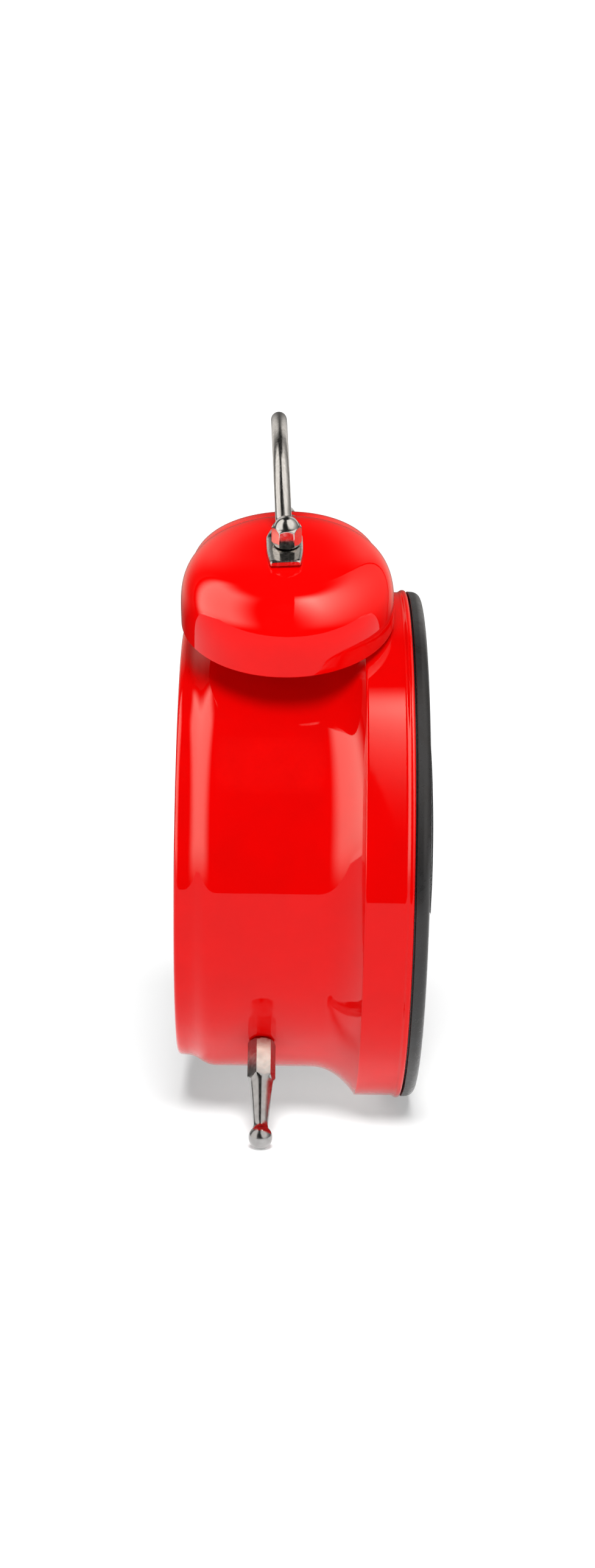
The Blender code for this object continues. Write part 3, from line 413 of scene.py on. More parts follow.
def make_looks():
    paint = new_look("red_paint", (0.84, 0.0006, 0.0005), 0.32, Coat_Weight=1.0, Coat_Roughness=0.03,
                     Coat_IOR=1.30, Specular_IOR_Level=0.0)
    mottled(paint, 9.0, (0.78, 0.0009, 0.0007))
    uneven(paint, 2.0, 0.28, 0.36)
    relief(paint, noise(paint, 1.6, detail=1.0), 0.002)
    relief(paint, noise(paint, 3.5, detail=1.0), 0.002, coat=True)

    bezel = new_look("bezel_black", (0.014, 0.012, 0.011), 0.3)
    uneven(bezel, 1.2, 0.24, 0.36)
    mottled(bezel, 4.0, (0.018, 0.018, 0.019))
    relief(bezel, noise(bezel, 0.6), 0.0008)

    moulded = new_look("black_plastic", (0.022, 0.021, 0.020), 0.5)
    uneven(moulded, 1.5, 0.42, 0.58)
    mottled(moulded, 6.0, (0.030, 0.029, 0.028))
    relief(moulded, noise(moulded, 0.45, detail=4.0), 0.02)

    smooth_black = new_look("control_black", (0.016, 0.016, 0.016), 0.33)
    uneven(smooth_black, 1.2, 0.28, 0.42)
    mottled(smooth_black, 3.0, (0.026, 0.025, 0.024))
    relief(smooth_black, noise(smooth_black, 0.3), 0.004)

    chrome = new_look("chrome", (0.74, 0.72, 0.69), 0.14, 1.0)
    uneven(chrome, 0.9, 0.08, 0.22)
    mottled(chrome, 1.4, (0.64, 0.615, 0.58))
    relief(chrome, noise(chrome, 0.7, detail=4.0), 0.003)

    drawn = new_look("drawn_wire", (0.74, 0.72, 0.69), 0.14, 1.0)
    along = (1.0, 0.16, 1.0)
    uneven(drawn, 0.35, 0.10, 0.27, along)
    mottled(drawn, 0.5, (0.60, 0.575, 0.54), along)
    relief(drawn, noise(drawn, 0.22, along, 4.0), 0.010)
    relief(drawn, noise(drawn, 0.9, detail=2.0), 0.006)

    turned = new_look("turned_steel", (0.44, 0.43, 0.425), 0.18, 1.0)
    uneven(turned, 0.8, 0.12, 0.24)
    mottled(turned, 1.5, (0.36, 0.35, 0.345))
    relief(turned, rings(turned, 0.16), 0.0022)
    relief(turned, noise(turned, 0.6), 0.002)

    steel = new_look("steel", (0.56, 0.56, 0.57), 0.34, 1.0)
    uneven(steel, 0.8, 0.26, 0.44)
    mottled(steel, 2.0, (0.47, 0.47, 0.47))
    relief(steel, noise(steel, 0.25, (0.2, 1, 1)), 0.004)

    brass = new_look("brass", (0.78, 0.57, 0.25), 0.28, 1.0)
    uneven(brass, 0.9, 0.22, 0.36)
    mottled(brass, 1.8, (0.66, 0.46, 0.19))
    relief(brass, rings(brass, 0.3, kind="RINGS"), 0.003)

    copper = new_look("copper_wire", (0.70, 0.29, 0.12), 0.3, 1.0)
    mottled(copper, 1.2, (0.55, 0.20, 0.08))
    relief(copper, rings(copper, 0.35, "Z", sway=0.1), 0.08)

    lens = new_look("clear_plastic", (0.97, 0.985, 0.99), 0.02, Transmission_Weight=1.0, IOR=1.49)
    uneven(lens, 25.0, 0.01, 0.03)
    relief(lens, noise(lens, 30.0, detail=0.0), 0.01)

    paper = new_look("dial_white", (0.86, 0.845, 0.79), 0.55)
    mottled(paper, 3.0, (0.83, 0.81, 0.75))
    relief(paper, noise(paper, 0.25, detail=4.0), 0.006)

    ink = new_look("dial_ink", (0.014, 0.014, 0.015), 0.42)
    uneven(ink, 0.5, 0.36, 0.5)
    mottled(ink, 0.8, (0.024, 0.024, 0.025))

    white = new_look("white_plastic", (0.80, 0.80, 0.78), 0.42)
    uneven(white, 1.4, 0.34, 0.5)
    mottled(white, 5.0, (0.76, 0.755, 0.73))
    relief(white, noise(white, 0.5), 0.006)

    black_hand = new_look("hand_black", (0.012, 0.012, 0.013), 0.32, Coat_Weight=0.4)
    uneven(black_hand, 0.8, 0.26, 0.4)
    relief(black_hand, noise(black_hand, 0.5), 0.002)

    lume = new_look("lume", (0.72, 0.76, 0.60), 0.7)
    mottled(lume, 0.6, (0.66, 0.71, 0.54))
    relief(lume, noise(lume, 0.3), 0.02)

    red_hand = new_look("hand_red", (0.68, 0.012, 0.010), 0.3, Coat_Weight=0.5)
    uneven(red_hand, 0.8, 0.24, 0.38)
    relief(red_hand, noise(red_hand, 0.5), 0.002)

    board = new_look("board_green", (0.03, 0.24, 0.10), 0.42)
    mottled(board, 1.6, (0.05, 0.33, 0.14), (1, 0.3, 1))
    relief(board, noise(board, 1.0, (1, 0.3, 1)), 0.02)

    sleeve = new_look("battery_wrap", (0.06, 0.10, 0.24), 0.28, Coat_Weight=0.6)
    mottled(sleeve, 5.0, (0.09, 0.14, 0.30))
    uneven(sleeve, 2.0, 0.22, 0.34)


# ---------------------------------------------------------------- case, front and dial

def rim_flare():
    """Concave sweep from the barrel out to the front rim."""
    start, end, count = 1.0, 11.2, 14
    rise = FRONT_RIM_RADIUS - 0.4 - BARREL_RADIUS
    shares = [i / count for i in range(count + 1)]
    return [(BARREL_RADIUS + rise * share ** 2.35, start + (end - start) * share)
            for share in shares]


def make_case():
    outside = [
        (FRONT_RIM_RADIUS - 0.6, RIM_FRONT), (FRONT_RIM_RADIUS + 0.1, RIM_FRONT, 0.2),
        (RIM_LIP_RADIUS, 21.1, 0.3), (RIM_LIP_RADIUS, 20.4, 0.3), (FRONT_RIM_RADIUS, 19.8, 0.4),
        (FRONT_RIM_RADIUS, 11.35, 0.5)]
    back = [
        (BARREL_RADIUS, -21.2, 1.9), (FLANGE_RADIUS + 0.05, -24.7, 1.5),
        (FLANGE_RADIUS, REAR_PLANE, 1.3), (44.2, REAR_PLANE, 0.3), (44.2, REAR_PLANE + CASE_WALL, 0.3),
        (FLANGE_RADIUS - 1.2, REAR_PLANE + CASE_WALL, 0.4), (FLANGE_RADIUS - CASE_WALL, -24.4, 1.0),
        (BARREL_RADIUS - CASE_WALL, -20.6, 1.5)]
    flare = rim_flare()
    inner = [(radius - CASE_WALL, height + 0.4) for radius, height in flare]
    front = [(FRONT_RIM_RADIUS - CASE_WALL, 12.0, 0.5), (FRONT_RIM_RADIUS - CASE_WALL, RIM_FRONT)]
    profile = eased(outside + flare[::-1] + back + inner + front)
    shell = lathe(profile, steps=200, closed=True)
    cuts = [moved(drill(STUD_BORE, 54, 46), CASE.inverted() @ LEGS[side])
            for side in SIDES]
    cuts += [moved(drill(STUD_BORE, -4, -11), CASE.inverted() @ SEATS[side])
             for side in SIDES]
    cuts.append(block((-3.6, 47, BELL_PLANE - 1.7), (3.6, 53, BELL_PLANE + 1.7), 0.0))
    piece("case_skin", worked(shell, cuts), "red_paint", replaces=["case_shell"])


def make_bezel_and_lens():
    bezel = [
        (52.0, 23.0, 0.3), (54.4, 24.75, 0.8), (56.2, 24.45, 0.6), (56.95, 23.5, 0.6),
        (57.1, 21.75, 0.25), (55.6, 21.75), (55.6, 17.0), (54.6, 17.0), (54.6, 21.5), (52.0, 21.5)]
    piece("bezel_ring", lathe(eased(bezel, closed=True), 200, closed=True), "bezel_black",
          replaces=["front_bezel"])
    half, rise, thickness, edge_low, edge_high = 51.6, 4.4, 1.2, 20.0, 21.1
    sphere = (half * half + rise * rise) / (2 * rise)
    centre = FRONT_TIP - sphere
    outside = cap_profile(sphere, math.asin(half / sphere), centre)
    inner = sphere - thickness
    inside = cap_profile(inner, math.asin((half - thickness) / inner), centre)[::-1]
    edge = [(54.2, edge_high), (54.2, edge_low), (half - thickness, edge_low)]
    piece("lens_dome", lathe(outside + [(half, edge_high)] + edge + inside, 160), "clear_plastic",
          replaces=["lens"])


def cap_profile(radius, sweep, centre, count=18):
    turns = [sweep * i / count for i in range(count + 1)]
    return [(radius * math.sin(t), centre + radius * math.cos(t)) for t in turns]


def numeral(text, size, middle, height):
    """A dial numeral as a thin printed layer, its middle at a place on the dial."""
    curve = bpy.data.curves.new("numeral", "FONT")
    curve.body = text
    curve.size = size * MM
    curve.align_x = "CENTER"
    curve.align_y = "CENTER"
    curve.offset = 0.11 * MM
    guide = bpy.data.objects.new("numeral", curve)
    bpy.context.scene.collection.objects.link(guide)
    mesh = bpy.data.meshes.new_from_object(
        guide.evaluated_get(bpy.context.evaluated_depsgraph_get()))
    bpy.data.objects.remove(guide, do_unlink=True)
    xs = [v.co.x for v in mesh.vertices]
    ys = [v.co.y for v in mesh.vertices]
    centre = Vector(((min(xs) + max(xs)) / 2, (min(ys) + max(ys)) / 2, 0))
    mesh.transform(Matrix.Translation(Vector((*middle, height)) * MM - centre))
    return mesh


def joined(meshes, name):
    shape = bmesh.new()
    for mesh in meshes:
        shape.from_mesh(mesh)
    made = bpy.data.meshes.new(name)
    shape.to_mesh(made)
    shape.free()
    return made


def tick(angle, inner, outer, half_width, height):
    """One mark of the minute track."""
    across = Matrix.Rotation(angle, 4, "Z")
    outline = [(inner, -half_width), (outer, -half_width), (outer, half_width), (inner, half_width)]
    return moved(prism(outline, height, height + 0.03), across)


def make_dial():
    middle, half = node_place("dial_plate")
    face = middle.z + half.z
    disc = lathe(eased([(3.6, face - 0.6), (54.2, face - 0.6), (54.2, face, 0.1), (3.6, face)],
                       closed=True), 160, closed=True)
    piece("dial_card", disc, "dial_white", replaces=["dial_plate"])
    marks = []
    for minute in range(60):
        angle = math.radians(90 - 6 * minute)
        if minute % 5:
            marks.append(tick(angle, 44.2, 46.2, 0.16, face + 0.01))
        else:
            marks.append(tick(angle, 42.6, 46.2, 0.55, face + 0.01))
    rails = [lathe([(r, face + 0.01), (r + 0.28, face + 0.01), (r + 0.28, face + 0.04),
                    (r, face + 0.04)], 160, closed=True) for r in (46.2, 44.0)]
    piece("dial_minute_track", joined(marks + rails, "track"), "dial_ink")
    figures = []
    for hour in range(1, 13):
        spot = polar(35.2, math.radians(90 - 30 * hour))
        figures.append(numeral(str(hour), 11.5, spot, face + 0.03))
    piece("dial_numerals", joined(figures, "numerals"), "dial_ink")
    chapter = [(54.2, 19.6), (54.3, 19.2), (54.3, 15.3), (47.4, 15.3, 0.1), (47.4, 15.8, 0.25),
               (53.8, 19.6, 0.3)]
    piece("dial_chapter_ring", lathe(eased(chapter, closed=True), 160, closed=True),
          "white_plastic", replaces=["dial_ring"])


def hand_shape(length, root, tip, tail, tail_width):
    """A pencil hand: tapering blade, pointed tip and a short counterweight."""
    return [(root, 0), (tip, length), (0, length + 2.5), (-tip, length), (-root, 0),
            (-tail_width, -tail), (tail_width, -tail)]


def make_hand(name, look, node, body, bore, collar, blade, tail, turn, glow=None):
    middle, half = node_place(node)
    low = middle.z - half.z
    high = middle.z + half.z - 0.15
    length, root, tip = blade
    plate = prism(hand_shape(length, root, tip, tail, root * 0.9), low, high, 0.12)
    hub = lathe(eased([(0, low), (collar, low), (collar, high + 0.15, 0.15), (0, high + 0.15)]), 48)
    hole = drill(bore, low - 2, high + 2)
    place = turned_frame(CASE, (0, 0, 0), ("Z", math.radians(turn)))
    piece(name, worked(plate, [hole], [hub]), look, body, place, [node])
    if glow:
        near, far, width_near, width_far = glow
        strip = [(width_near, near), (width_far, far), (-width_far, far), (-width_near, near)]
        piece(name + "_lume", prism(strip, high - 0.1, high + 0.06, 0.03), "lume", body, place)


def make_hands():
    """Hands at ten past ten."""
    make_hand("pointer_alarm", "brass", "alarm_hand", "alarm_hand", 3.5, 4.6, (22, 1.0, 0.5), 5.0,
              -180.0)
    make_hand("pointer_hour", "hand_black", "hour_hand", "hour_hand", 2.6, 4.0, (25, 1.7, 1.2), 5.0,
              -305.0, (6.5, 23.5, 0.85, 0.62))
    make_hand("pointer_minute", "hand_black", "minute_hand", "minute_hand", 1.7, 3.4, (38, 1.5, 0.9),
              5.0, -60.0, (6.5, 36.5, 0.75, 0.42))
    make_hand("pointer_second", "hand_red", "second_hand", "second_hand", 0.8, 2.4, (41, 0.5, 0.3),
              9.0, -210.0)


# ---------------------------------------------------------------- bells, posts, handle, nuts

def bell_curve(radius, height, steps):
    """Superellipse quarter from the crown to the mouth."""
    turns = [math.pi / 2 * (1 - (i / steps) ** 1.15) for i in range(steps + 1)]
    return [(radius * math.cos(t) ** (2 / BELL_SHAPE), height * math.sin(t) ** (2 / BELL_SHAPE))
            for t in turns]


def make_bells():
    bore = POST_RADIUS + 0.4
    outside = [point for point in bell_curve(BELL_RADIUS, BELL_HEIGHT, 40)[:-1] if point[0] > bore]
    lip = [(BELL_RADIUS, 0.25), (BELL_RADIUS - 0.2, 0.0), (BELL_RADIUS - BELL_WALL + 0.2, 0.0),
           (BELL_RADIUS - BELL_WALL, 0.25)]
    inside = bell_curve(BELL_RADIUS - BELL_WALL, BELL_HEIGHT - BELL_WALL, 32)[-2::-1]
    inside = [point for point in inside if point[0] > bore and point[1] > 0.3]
    outside = [(bore, BELL_HEIGHT)] + [point for point in outside if point[1] > 0.3]
    inside.append((bore, BELL_HEIGHT - BELL_WALL))
    for side in SIDES:
        piece("bell_dome_" + side, lathe(outside + lip + inside, 160, closed=True), "red_paint",
              place=SEATS[side], replaces=["bell_" + side])


def foot_of_post():
    """How far below the bell's mouth its axis meets the barrel."""
    along = BELL_OFFSET * math.sin(BELL_TILT) + BELL_LEVEL * math.cos(BELL_TILT)
    far = BELL_OFFSET ** 2 + BELL_LEVEL ** 2 - BARREL_RADIUS ** 2
    return along - math.sqrt(along ** 2 - far)


def hexagon_radius(turn, flats):
    return flats / 2 / math.cos(turn % (math.pi / 3) - math.pi / 6)


def hex_ring(height, flats, limit, turn=0.0, count=96):
    """A hexagon whose corners are turned down to a limiting radius."""
    turns = [2 * math.pi * i / count for i in range(count)]
    return [(*polar(min(hexagon_radius(t, flats), limit), t + turn), height) for t in turns]


def round_ring(height, radius, turn=0.0, count=96):
    turns = [2 * math.pi * i / count for i in range(count)]
    return [(*polar(radius, t + turn), height) for t in turns]


def nut_rings():
    """Domed cap nut: hexagon whose corners are turned down to a cone, then a ball end."""
    corner = NUT_FLATS / math.sqrt(3)
    flat = NUT_FLATS / 2
    made = [round_ring(0, flat - 0.1)]
    for height, limit in ((0.0, flat), (0.14, corner - 0.22), (0.27, corner - 0.06), (0.4, corner)):
        made.append(hex_ring(height, NUT_FLATS, limit, NUT_TURN))
    for step in range(9):
        share = step / 8
        made.append(hex_ring(NUT_HEX_HEIGHT - 0.5 * (1 - share), NUT_FLATS,
                             corner + (flat - 0.02 - corner) * share, NUT_TURN))
    start = math.asin((NUT_HEX_HEIGHT - NUT_DOME_CENTRE) / NUT_DOME_RADIUS)
    for step in range(17):
        lift = start + (math.radians(88) - start) * step / 16
        made.append(round_ring(NUT_DOME_CENTRE + NUT_DOME_RADIUS * math.sin(lift),
                               NUT_DOME_RADIUS * math.cos(lift), NUT_TURN))
    return made


def make_posts_and_nuts():
    foot = -foot_of_post()
    shoulder = 2.8
    seat_height = BELL_HEIGHT + 2 * EYE_HALF_THICKNESS + 0.6
    tip = seat_height + 4.0
    under = BELL_HEIGHT - BELL_WALL - 0.4
    post = eased([(0, tip), (POST_RADIUS, tip, 0.2), (POST_RADIUS, under), (shoulder, under, 0.3),
                  (shoulder, foot + 0.6, 0.3), (POST_RADIUS, foot + 0.6), (POST_RADIUS, foot - 4.8, 0.2),
                  (0, foot - 4.8)])
    for side in SIDES:
        piece("post_turned_" + side, lathe(post, 48), "turned_steel", place=SEATS[side],
              replaces=["bell_post_" + side])
        nut_place = turned_frame(SEATS[side], (0, 0, seat_height))
        hollow = drill(POST_RADIUS + 0.3, -1, 4.4)
        piece("cap_nut_" + side, worked(loft(nut_rings(), 28), [hollow]), "chrome",
              place=nut_place, replaces=["acorn_nut_" + side])


def blend(a, b, share):
    smooth = share * share * (3 - 2 * share)
    return a + (b - a) * smooth


def handle_path():
    """Centre line of the left half: eye, upward bend, then the arch."""
    lift = BELL_HEIGHT + 0.3 + EYE_HALF_THICKNESS
    eye = (-BELL_OFFSET - lift * math.sin(BELL_TILT), BELL_LEVEL + lift * math.cos(BELL_TILT))
    along = (math.cos(BELL_TILT), math.sin(BELL_TILT))
    reaches = [0.03 - EYE_REACH, 0.1 - EYE_REACH, 0.22 - EYE_REACH, 0.4 - EYE_REACH]
    reaches += [-6.0, -5.0, -4.0, -3.0, -2.0, -1.0, 0.0, 1.0, 2.0, 3.0]
    reaches += [3.4 + 0.5 * i for i in range(7)]
    path = [(eye[0] + s * along[0], eye[1] + s * along[1], BELL_TILT, s) for s in reaches]
    bend = 4.0
    start = path[-1]
    for i in range(1, 11):
        angle = BELL_TILT + (math.pi / 2 - BELL_TILT) * i / 10
        x = start[0] + bend * (math.sin(angle) - math.sin(BELL_TILT))
        up = start[1] + bend * (math.cos(BELL_TILT) - math.cos(angle))
        path.append((x, up, angle, start[3] + bend * (angle - BELL_TILT)))
    foot = path[-1]
    half, rise = -foot[0], HANDLE_TOP - WIRE_RADIUS - foot[1]
    for i in range(1, 33):
        turn = math.pi / 2 * i / 32
        angle = math.atan2(rise * math.cos(turn), half * math.sin(turn))
        path.append((-half * math.cos(turn), foot[1] + rise * math.sin(turn), angle, EYE_END + EYE_BLEND))
    return path


def handle_ring(x, up, angle, s, count=32):
    """One section: a hammered flat eye near the ends, a round wire over the arch."""
    share = min(max((s - EYE_END) / EYE_BLEND, 0.0), 1.0)
    width = EYE_HALF_WIDTH - EYE_NARROWING * (max(-s, 0.0) / EYE_REACH) ** 2
    width = blend(width, WIRE_RADIUS, share)
    thick = blend(EYE_HALF_THICKNESS, WIRE_RADIUS, share)
    power = blend(0.38, 1.0, share)
    lift = thick - EYE_HALF_THICKNESS
    trim = 0.25 * max(0.0, 1 - (s + EYE_REACH) / 0.4) ** 2
    width, thick = width - trim, thick - trim
    section = []
    for i in range(count):
        turn = 2 * math.pi * (i + 0.5) / count
        c, w = math.cos(turn), math.sin(turn)
        side = width * math.copysign(abs(c) ** power, c)
        over = thick * math.copysign(abs(w) ** power, w) + lift
        section.append((x - over * math.sin(angle), up + over * math.cos(angle), side))
    return section


def make_handle():
    left = [handle_ring(*spot) for spot in handle_path()]
    right = [[(-x, up, side) for x, up, side in ring] for ring in reversed(left[:-1])]
    level = BELL_LEVEL + BELL_HEIGHT
    hanger = turned_frame(BELL_GROUP, (0, level, -HANDLE_SHIFT), ("X", -HANDLE_LEAN))
    hanger = turned_frame(hanger, (0, -level, 0))
    top = BELL_HEIGHT + 8
    bores = [moved(drill(STUD_BORE, top, BELL_HEIGHT - 2), hanger.inverted() @ SEATS[side])
             for side in SIDES]
    piece("handle_wire", worked(loft(left + right), bores), "drawn_wire", place=hanger,
          replaces=["carry_handle"])


def leg_rings():
    """Hexagon sleeve with turned-down corners, slender taper, neck and ball foot."""
    stud, start = 1.5, BARREL_RADIUS + 0.4
    corner = LEG_HEX_FLATS / math.sqrt(3)
    turn = LEG_HEX_TURN
    made = [round_ring(45.2, stud, turn), round_ring(start, stud, turn)]
    for reach, limit in ((0.0, corner - 0.3), (0.2, corner - 0.08), (0.4, corner)):
        made.append(hex_ring(start + reach, LEG_HEX_FLATS, limit, turn))
    for reach, limit in ((-1.0, corner), (-0.75, corner - 0.1), (-0.45, corner - 0.28),
                         (-0.15, LEG_HEX_FLATS / 2 - 0.02)):
        made.append(hex_ring(LEG_HEX_END + reach, LEG_HEX_FLATS, limit, turn))
    taper_end = 70.6
    for step in range(13):
        share = step / 12
        made.append(round_ring(blend(LEG_HEX_END, taper_end, share) if step in (0, 12)
                               else LEG_HEX_END + (taper_end - LEG_HEX_END) * share,
                               2.56 - 1.0 * share ** 0.85, turn))
    neck = math.asin(-math.sqrt(1 - (1.56 / LEG_BALL_RADIUS) ** 2))
    for step in range(1, 21):
        lift = neck + (math.radians(88) - neck) * step / 20
        made.append(round_ring(LEG_REACH + LEG_BALL_RADIUS * math.sin(lift),
                               LEG_BALL_RADIUS * math.cos(lift), turn))
    return made


def make_legs():
    for side in SIDES:
        piece("leg_turned_" + side, loft(leg_rings(), 26), "turned_steel", place=LEGS[side],
              replaces=["leg_" + side])


# ---------------------------------------------------------------- hammer

def make_hammer():
    pivot = joint_spot("hammer_swing")
    middle, half = node_place("hammer_head")
    radius = half.x
    place = turned_frame(CASE, (*pivot, BELL_PLANE), UPRIGHT)
    reach = middle.y - pivot[1]
    wire_radius = 0.9
    wire = eased([(0, 3.5), (wire_radius, 3.5, 0.2), (wire_radius, reach), (0, reach)])
    piece("hammer_wire", lathe(wire, 32), "turned_steel", "hammer", place, ["hammer_arm"])
    turns = [math.pi * i / 40 for i in range(41)]
    ball = lathe([(radius * math.sin(t), reach + radius * math.cos(t)) for t in turns], 72)
    hole = drill(1.2, reach - 8, reach + 0.3)
    piece("hammer_ball", worked(ball, [hole]), "chrome", "hammer", place, ["hammer_head"])


# ---------------------------------------------------------------- back

RECESS_FLOOR = -21.4


def make_rear_cover():
    """Recessed moulding with battery box, raised collars round the knobs, slot and screw holes."""
    dish = lathe(eased([(0, -20.0), (46.3, -20.0, 0.3), (46.3, -26.5, 0.2), (45.1, -26.5, 0.2),
                        (45.1, RECESS_FLOOR, 0.8), (0, RECESS_FLOOR)]), 160)
    joins = [block((-28.7, -30.9, -20.6), (28.7, -13.1, -3.6), 0.4)]
    knobs = [joint_spot("time_set_turn"), joint_spot("alarm_set_turn")]
    buried, lip, face = RECESS_FLOOR + 0.2, RECESS_FLOOR - 0.35, RECESS_FLOOR - 0.05
    collar = [(1.7, buried), (9.3, buried), (9.3, lip, 0.2), (8.7, lip, 0.2), (8.7, face), (1.7, face)]
    for spot in knobs:
        joins.append(moved(lathe(eased(collar, closed=True), 64, closed=True), (*spot, 0)))
    cuts = [block((-27.5, -29.7, -30.0), (27.5, -14.3, -4.8), 0.0),
            block((-6.0, 25.0, -25), (6.0, 29.0, -15), 0.0)]
    for spot in knobs:
        cuts.append(moved(drill(1.6, -15, -25), (*spot, 0)))
    button = node_place("light_button")[0]
    cuts.append(moved(drill(4.3, -15, -25, 48), (button.x, button.y, 0)))
    for number in (1, 2, 3):
        screw = node_place("rear_screw_" + str(number))[0]
        cuts.append(moved(drill(1.7, -15, -25), (screw.x, screw.y, 0)))
    piece("back_moulding", worked(dish, cuts, joins), "black_plastic", replaces=["rear_cover"])


def make_battery_door():
    hinge = Vector(JOINTS["battery_door_open"]["pos_m"])
    place = Matrix.Translation(hinge) @ Matrix.Rotation(math.pi / 2, 4, "X")
    lid = block((-29.5, -0.6, -0.6), (29.5, 18.6, 0.6), 0.35)
    ribs = [block((-7.5, 12.2 + 1.5 * i, -1.0), (7.5, 12.9 + 1.5 * i, -0.2), 0.2) for i in range(4)]
    piece("battery_lid", worked(lid, joins=ribs), "black_plastic", "battery_door", place,
          ["battery_door"])


def make_battery():
    middle, half = node_place("battery")
    radius = half.y
    length = 2 * half.x
    place = turned_frame(CASE, (middle.x - half.x, middle.y, middle.z), ("Y", math.pi / 2))
    can = eased([(0, length), (2.6, length, 0.3), (2.6, length - 1.1, 0.2), (radius - 0.6, length - 1.1, 0.5),
                 (radius, length - 2.0, 0.5), (radius, 0.6, 0.5), (0, 0.2)])
    piece("battery_cell", lathe(can, 72), "battery_wrap", place=place, replaces=["battery"])


def make_rear_screws():
    for number in (1, 2, 3):
        middle = node_place("rear_screw_" + str(number))[0]
        place = turned_frame(CASE, (middle.x, middle.y, 0), ("Z", 0.5 * number))
        head = eased([(0, -12.5), (1.3, -12.5, 0.2), (1.3, -21.7), (2.9, -21.7, 0.15), (2.75, -22.7, 0.7),
                      (1.6, -23.3, 0.6), (0, -23.3)])
        slots = [block((-a, -b, -24), (a, b, -22.5), 0.0) for a, b in ((1.9, 0.35), (0.35, 1.9))]
        piece("screw_head_" + str(number), worked(lathe(head, 48), slots), "steel", place=place,
              replaces=["rear_screw_" + str(number)])


def knob_outline(ribs=36, radius=7.6, depth=0.42):
    points = []
    for i in range(ribs * 4):
        wave = 0.5 + 0.5 * math.cos(2 * math.pi * i / 4)
        points.append(polar(radius - depth * (1 - wave), 2 * math.pi * i / (ribs * 4)))
    return points


def make_controls():
    for name, joint in (("time_set_knob", "time_set_turn"), ("alarm_set_knob", "alarm_set_turn")):
        spot = joint_spot(joint)
        place = turned_frame(CASE, (*spot, 0))
        knob = prism(knob_outline(), -27.4, -22.0, 0.3)
        dish = lathe(eased([(0, -26.9), (5.2, -26.9, 0.5), (5.8, -28.5), (0, -28.5)]), 48)
        bore = drill(1.3, -20, -25.5, 24)
        pointer = block((-0.45, 1.4, -27.3), (0.45, 4.6, -26.7), 0.15)
        piece(name + "_knurled", worked(worked(knob, [dish, bore]), joins=[pointer]),
              "control_black", name, place, [name])
    slider = block((-13.5, 23.6, -19.6), (6.5, 30.4, -18.4), 0.2)
    thumb = block((-5.5, 25.4, -24.6), (-1.5, 28.6, -19.0), 0.35)
    grooves = [block((-4.75 + 0.9 * i, 25.0, -24.8), (-4.35 + 0.9 * i, 29.0, -24.2), 0.0)
               for i in range(4)]
    piece("alarm_slider", worked(slider, grooves, [thumb]), "control_black", "alarm_switch",
          replaces=["alarm_switch"])
    button = node_place("light_button")[0]
    dome = eased([(0, -18.0), (5.6, -18.0, 0.2), (5.6, -19.4, 0.2), (3.9, -19.4), (3.9, -24.0, 1.2),
                  (0, -24.8)])
    piece("light_push_button", lathe(dome, 64), "control_black", "light_button",
          turned_frame(CASE, (button.x, button.y, 0)), ["light_button"])


# ---------------------------------------------------------------- inner CAD nodes

def dress_inner_nodes():
    """Give the CAD nodes that stay a better material, each from its record slot."""
    slots = {part["node"]: part["material_slot"] for part in frame["record"]["subparts"]}
    for name, node in frame["nodes"].items():
        node.data.materials.clear()
        node.data.materials.append(LOOKS[slots[name]])


# ---------------------------------------------------------------- stage, light and camera

FLOOR_HALF = 1.6            # the floor reaches this far to the dial's side and to the back's
FLOOR_NEAR_EDGE = 0.24      # this far towards the camera's side, -X
FLOOR_FAR_EDGE = 0.20       # and this far away from it, so that the bells' edges mirror no floor
FLOOR_SUN = 3.0
FLOOR_SUN_TURN = math.radians(38)     # from overhead towards the camera's side
FLOOR_SUN_ANGLE = math.radians(22)    # how soft its shadow is
FLOOR_EVEN_SUN = 1.45       # a shadowless share, which keeps the clock's own shadow pale
WALL_LEVEL = 0.08           # height of the point that the light walls are bent round
WALL_LOWEST = -20           # degrees above the horizon, seen from that point
WALL_HIGHEST = 80
BACKDROP = 1.2              # a little over white, so that the floor's edge doesn't show against it
SURROUND = 0.02             # what lies beyond the walls in reflections
FILL_AIM = Vector((0, 0, 0.07))
# Metal and plastic see dimmer walls than the enamel does: share, far share, limit and radius of each set.
ENAMEL_WALLS = (1.45, 0.8, 100.0, 0.90)
BARE_WALLS = (0.5, 0.8, 1.1, 0.96)
# Name, place, power and width of each soft lamp.
FILLS = (("fill_side", (-0.68, 0.0, 0.80), 8.0, 0.5),
         ("fill_low", (-1.0, 0.0, 0.25), 1.2, 0.9),
         ("fill_dial", (0.15, -1.05, 0.35), 6.5, 0.9),
         ("fill_back", (0.15, 1.05, 0.35), 4.0, 0.9),
         ("fill_far", (0.9, 0.0, 0.60), 5.5, 0.9),
         ("fill_top", (0.0, 0.0, 1.15), 2.4, 0.9))
# One more for the bells alone, low down, for their lower halves.
BELL_FILL = ("fill_bells", (-1.0, 0.0, 0.10), 4.0, 0.9)


def staged(name, mesh, look, place):
    """A part of the studio: it belongs to the stage, not to the clock."""
    made = bpy.data.objects.new(name, mesh)
    bpy.context.scene.collection.objects.link(made)
    made.data.materials.append(LOOKS[look])
    made.matrix_world = place
    return made


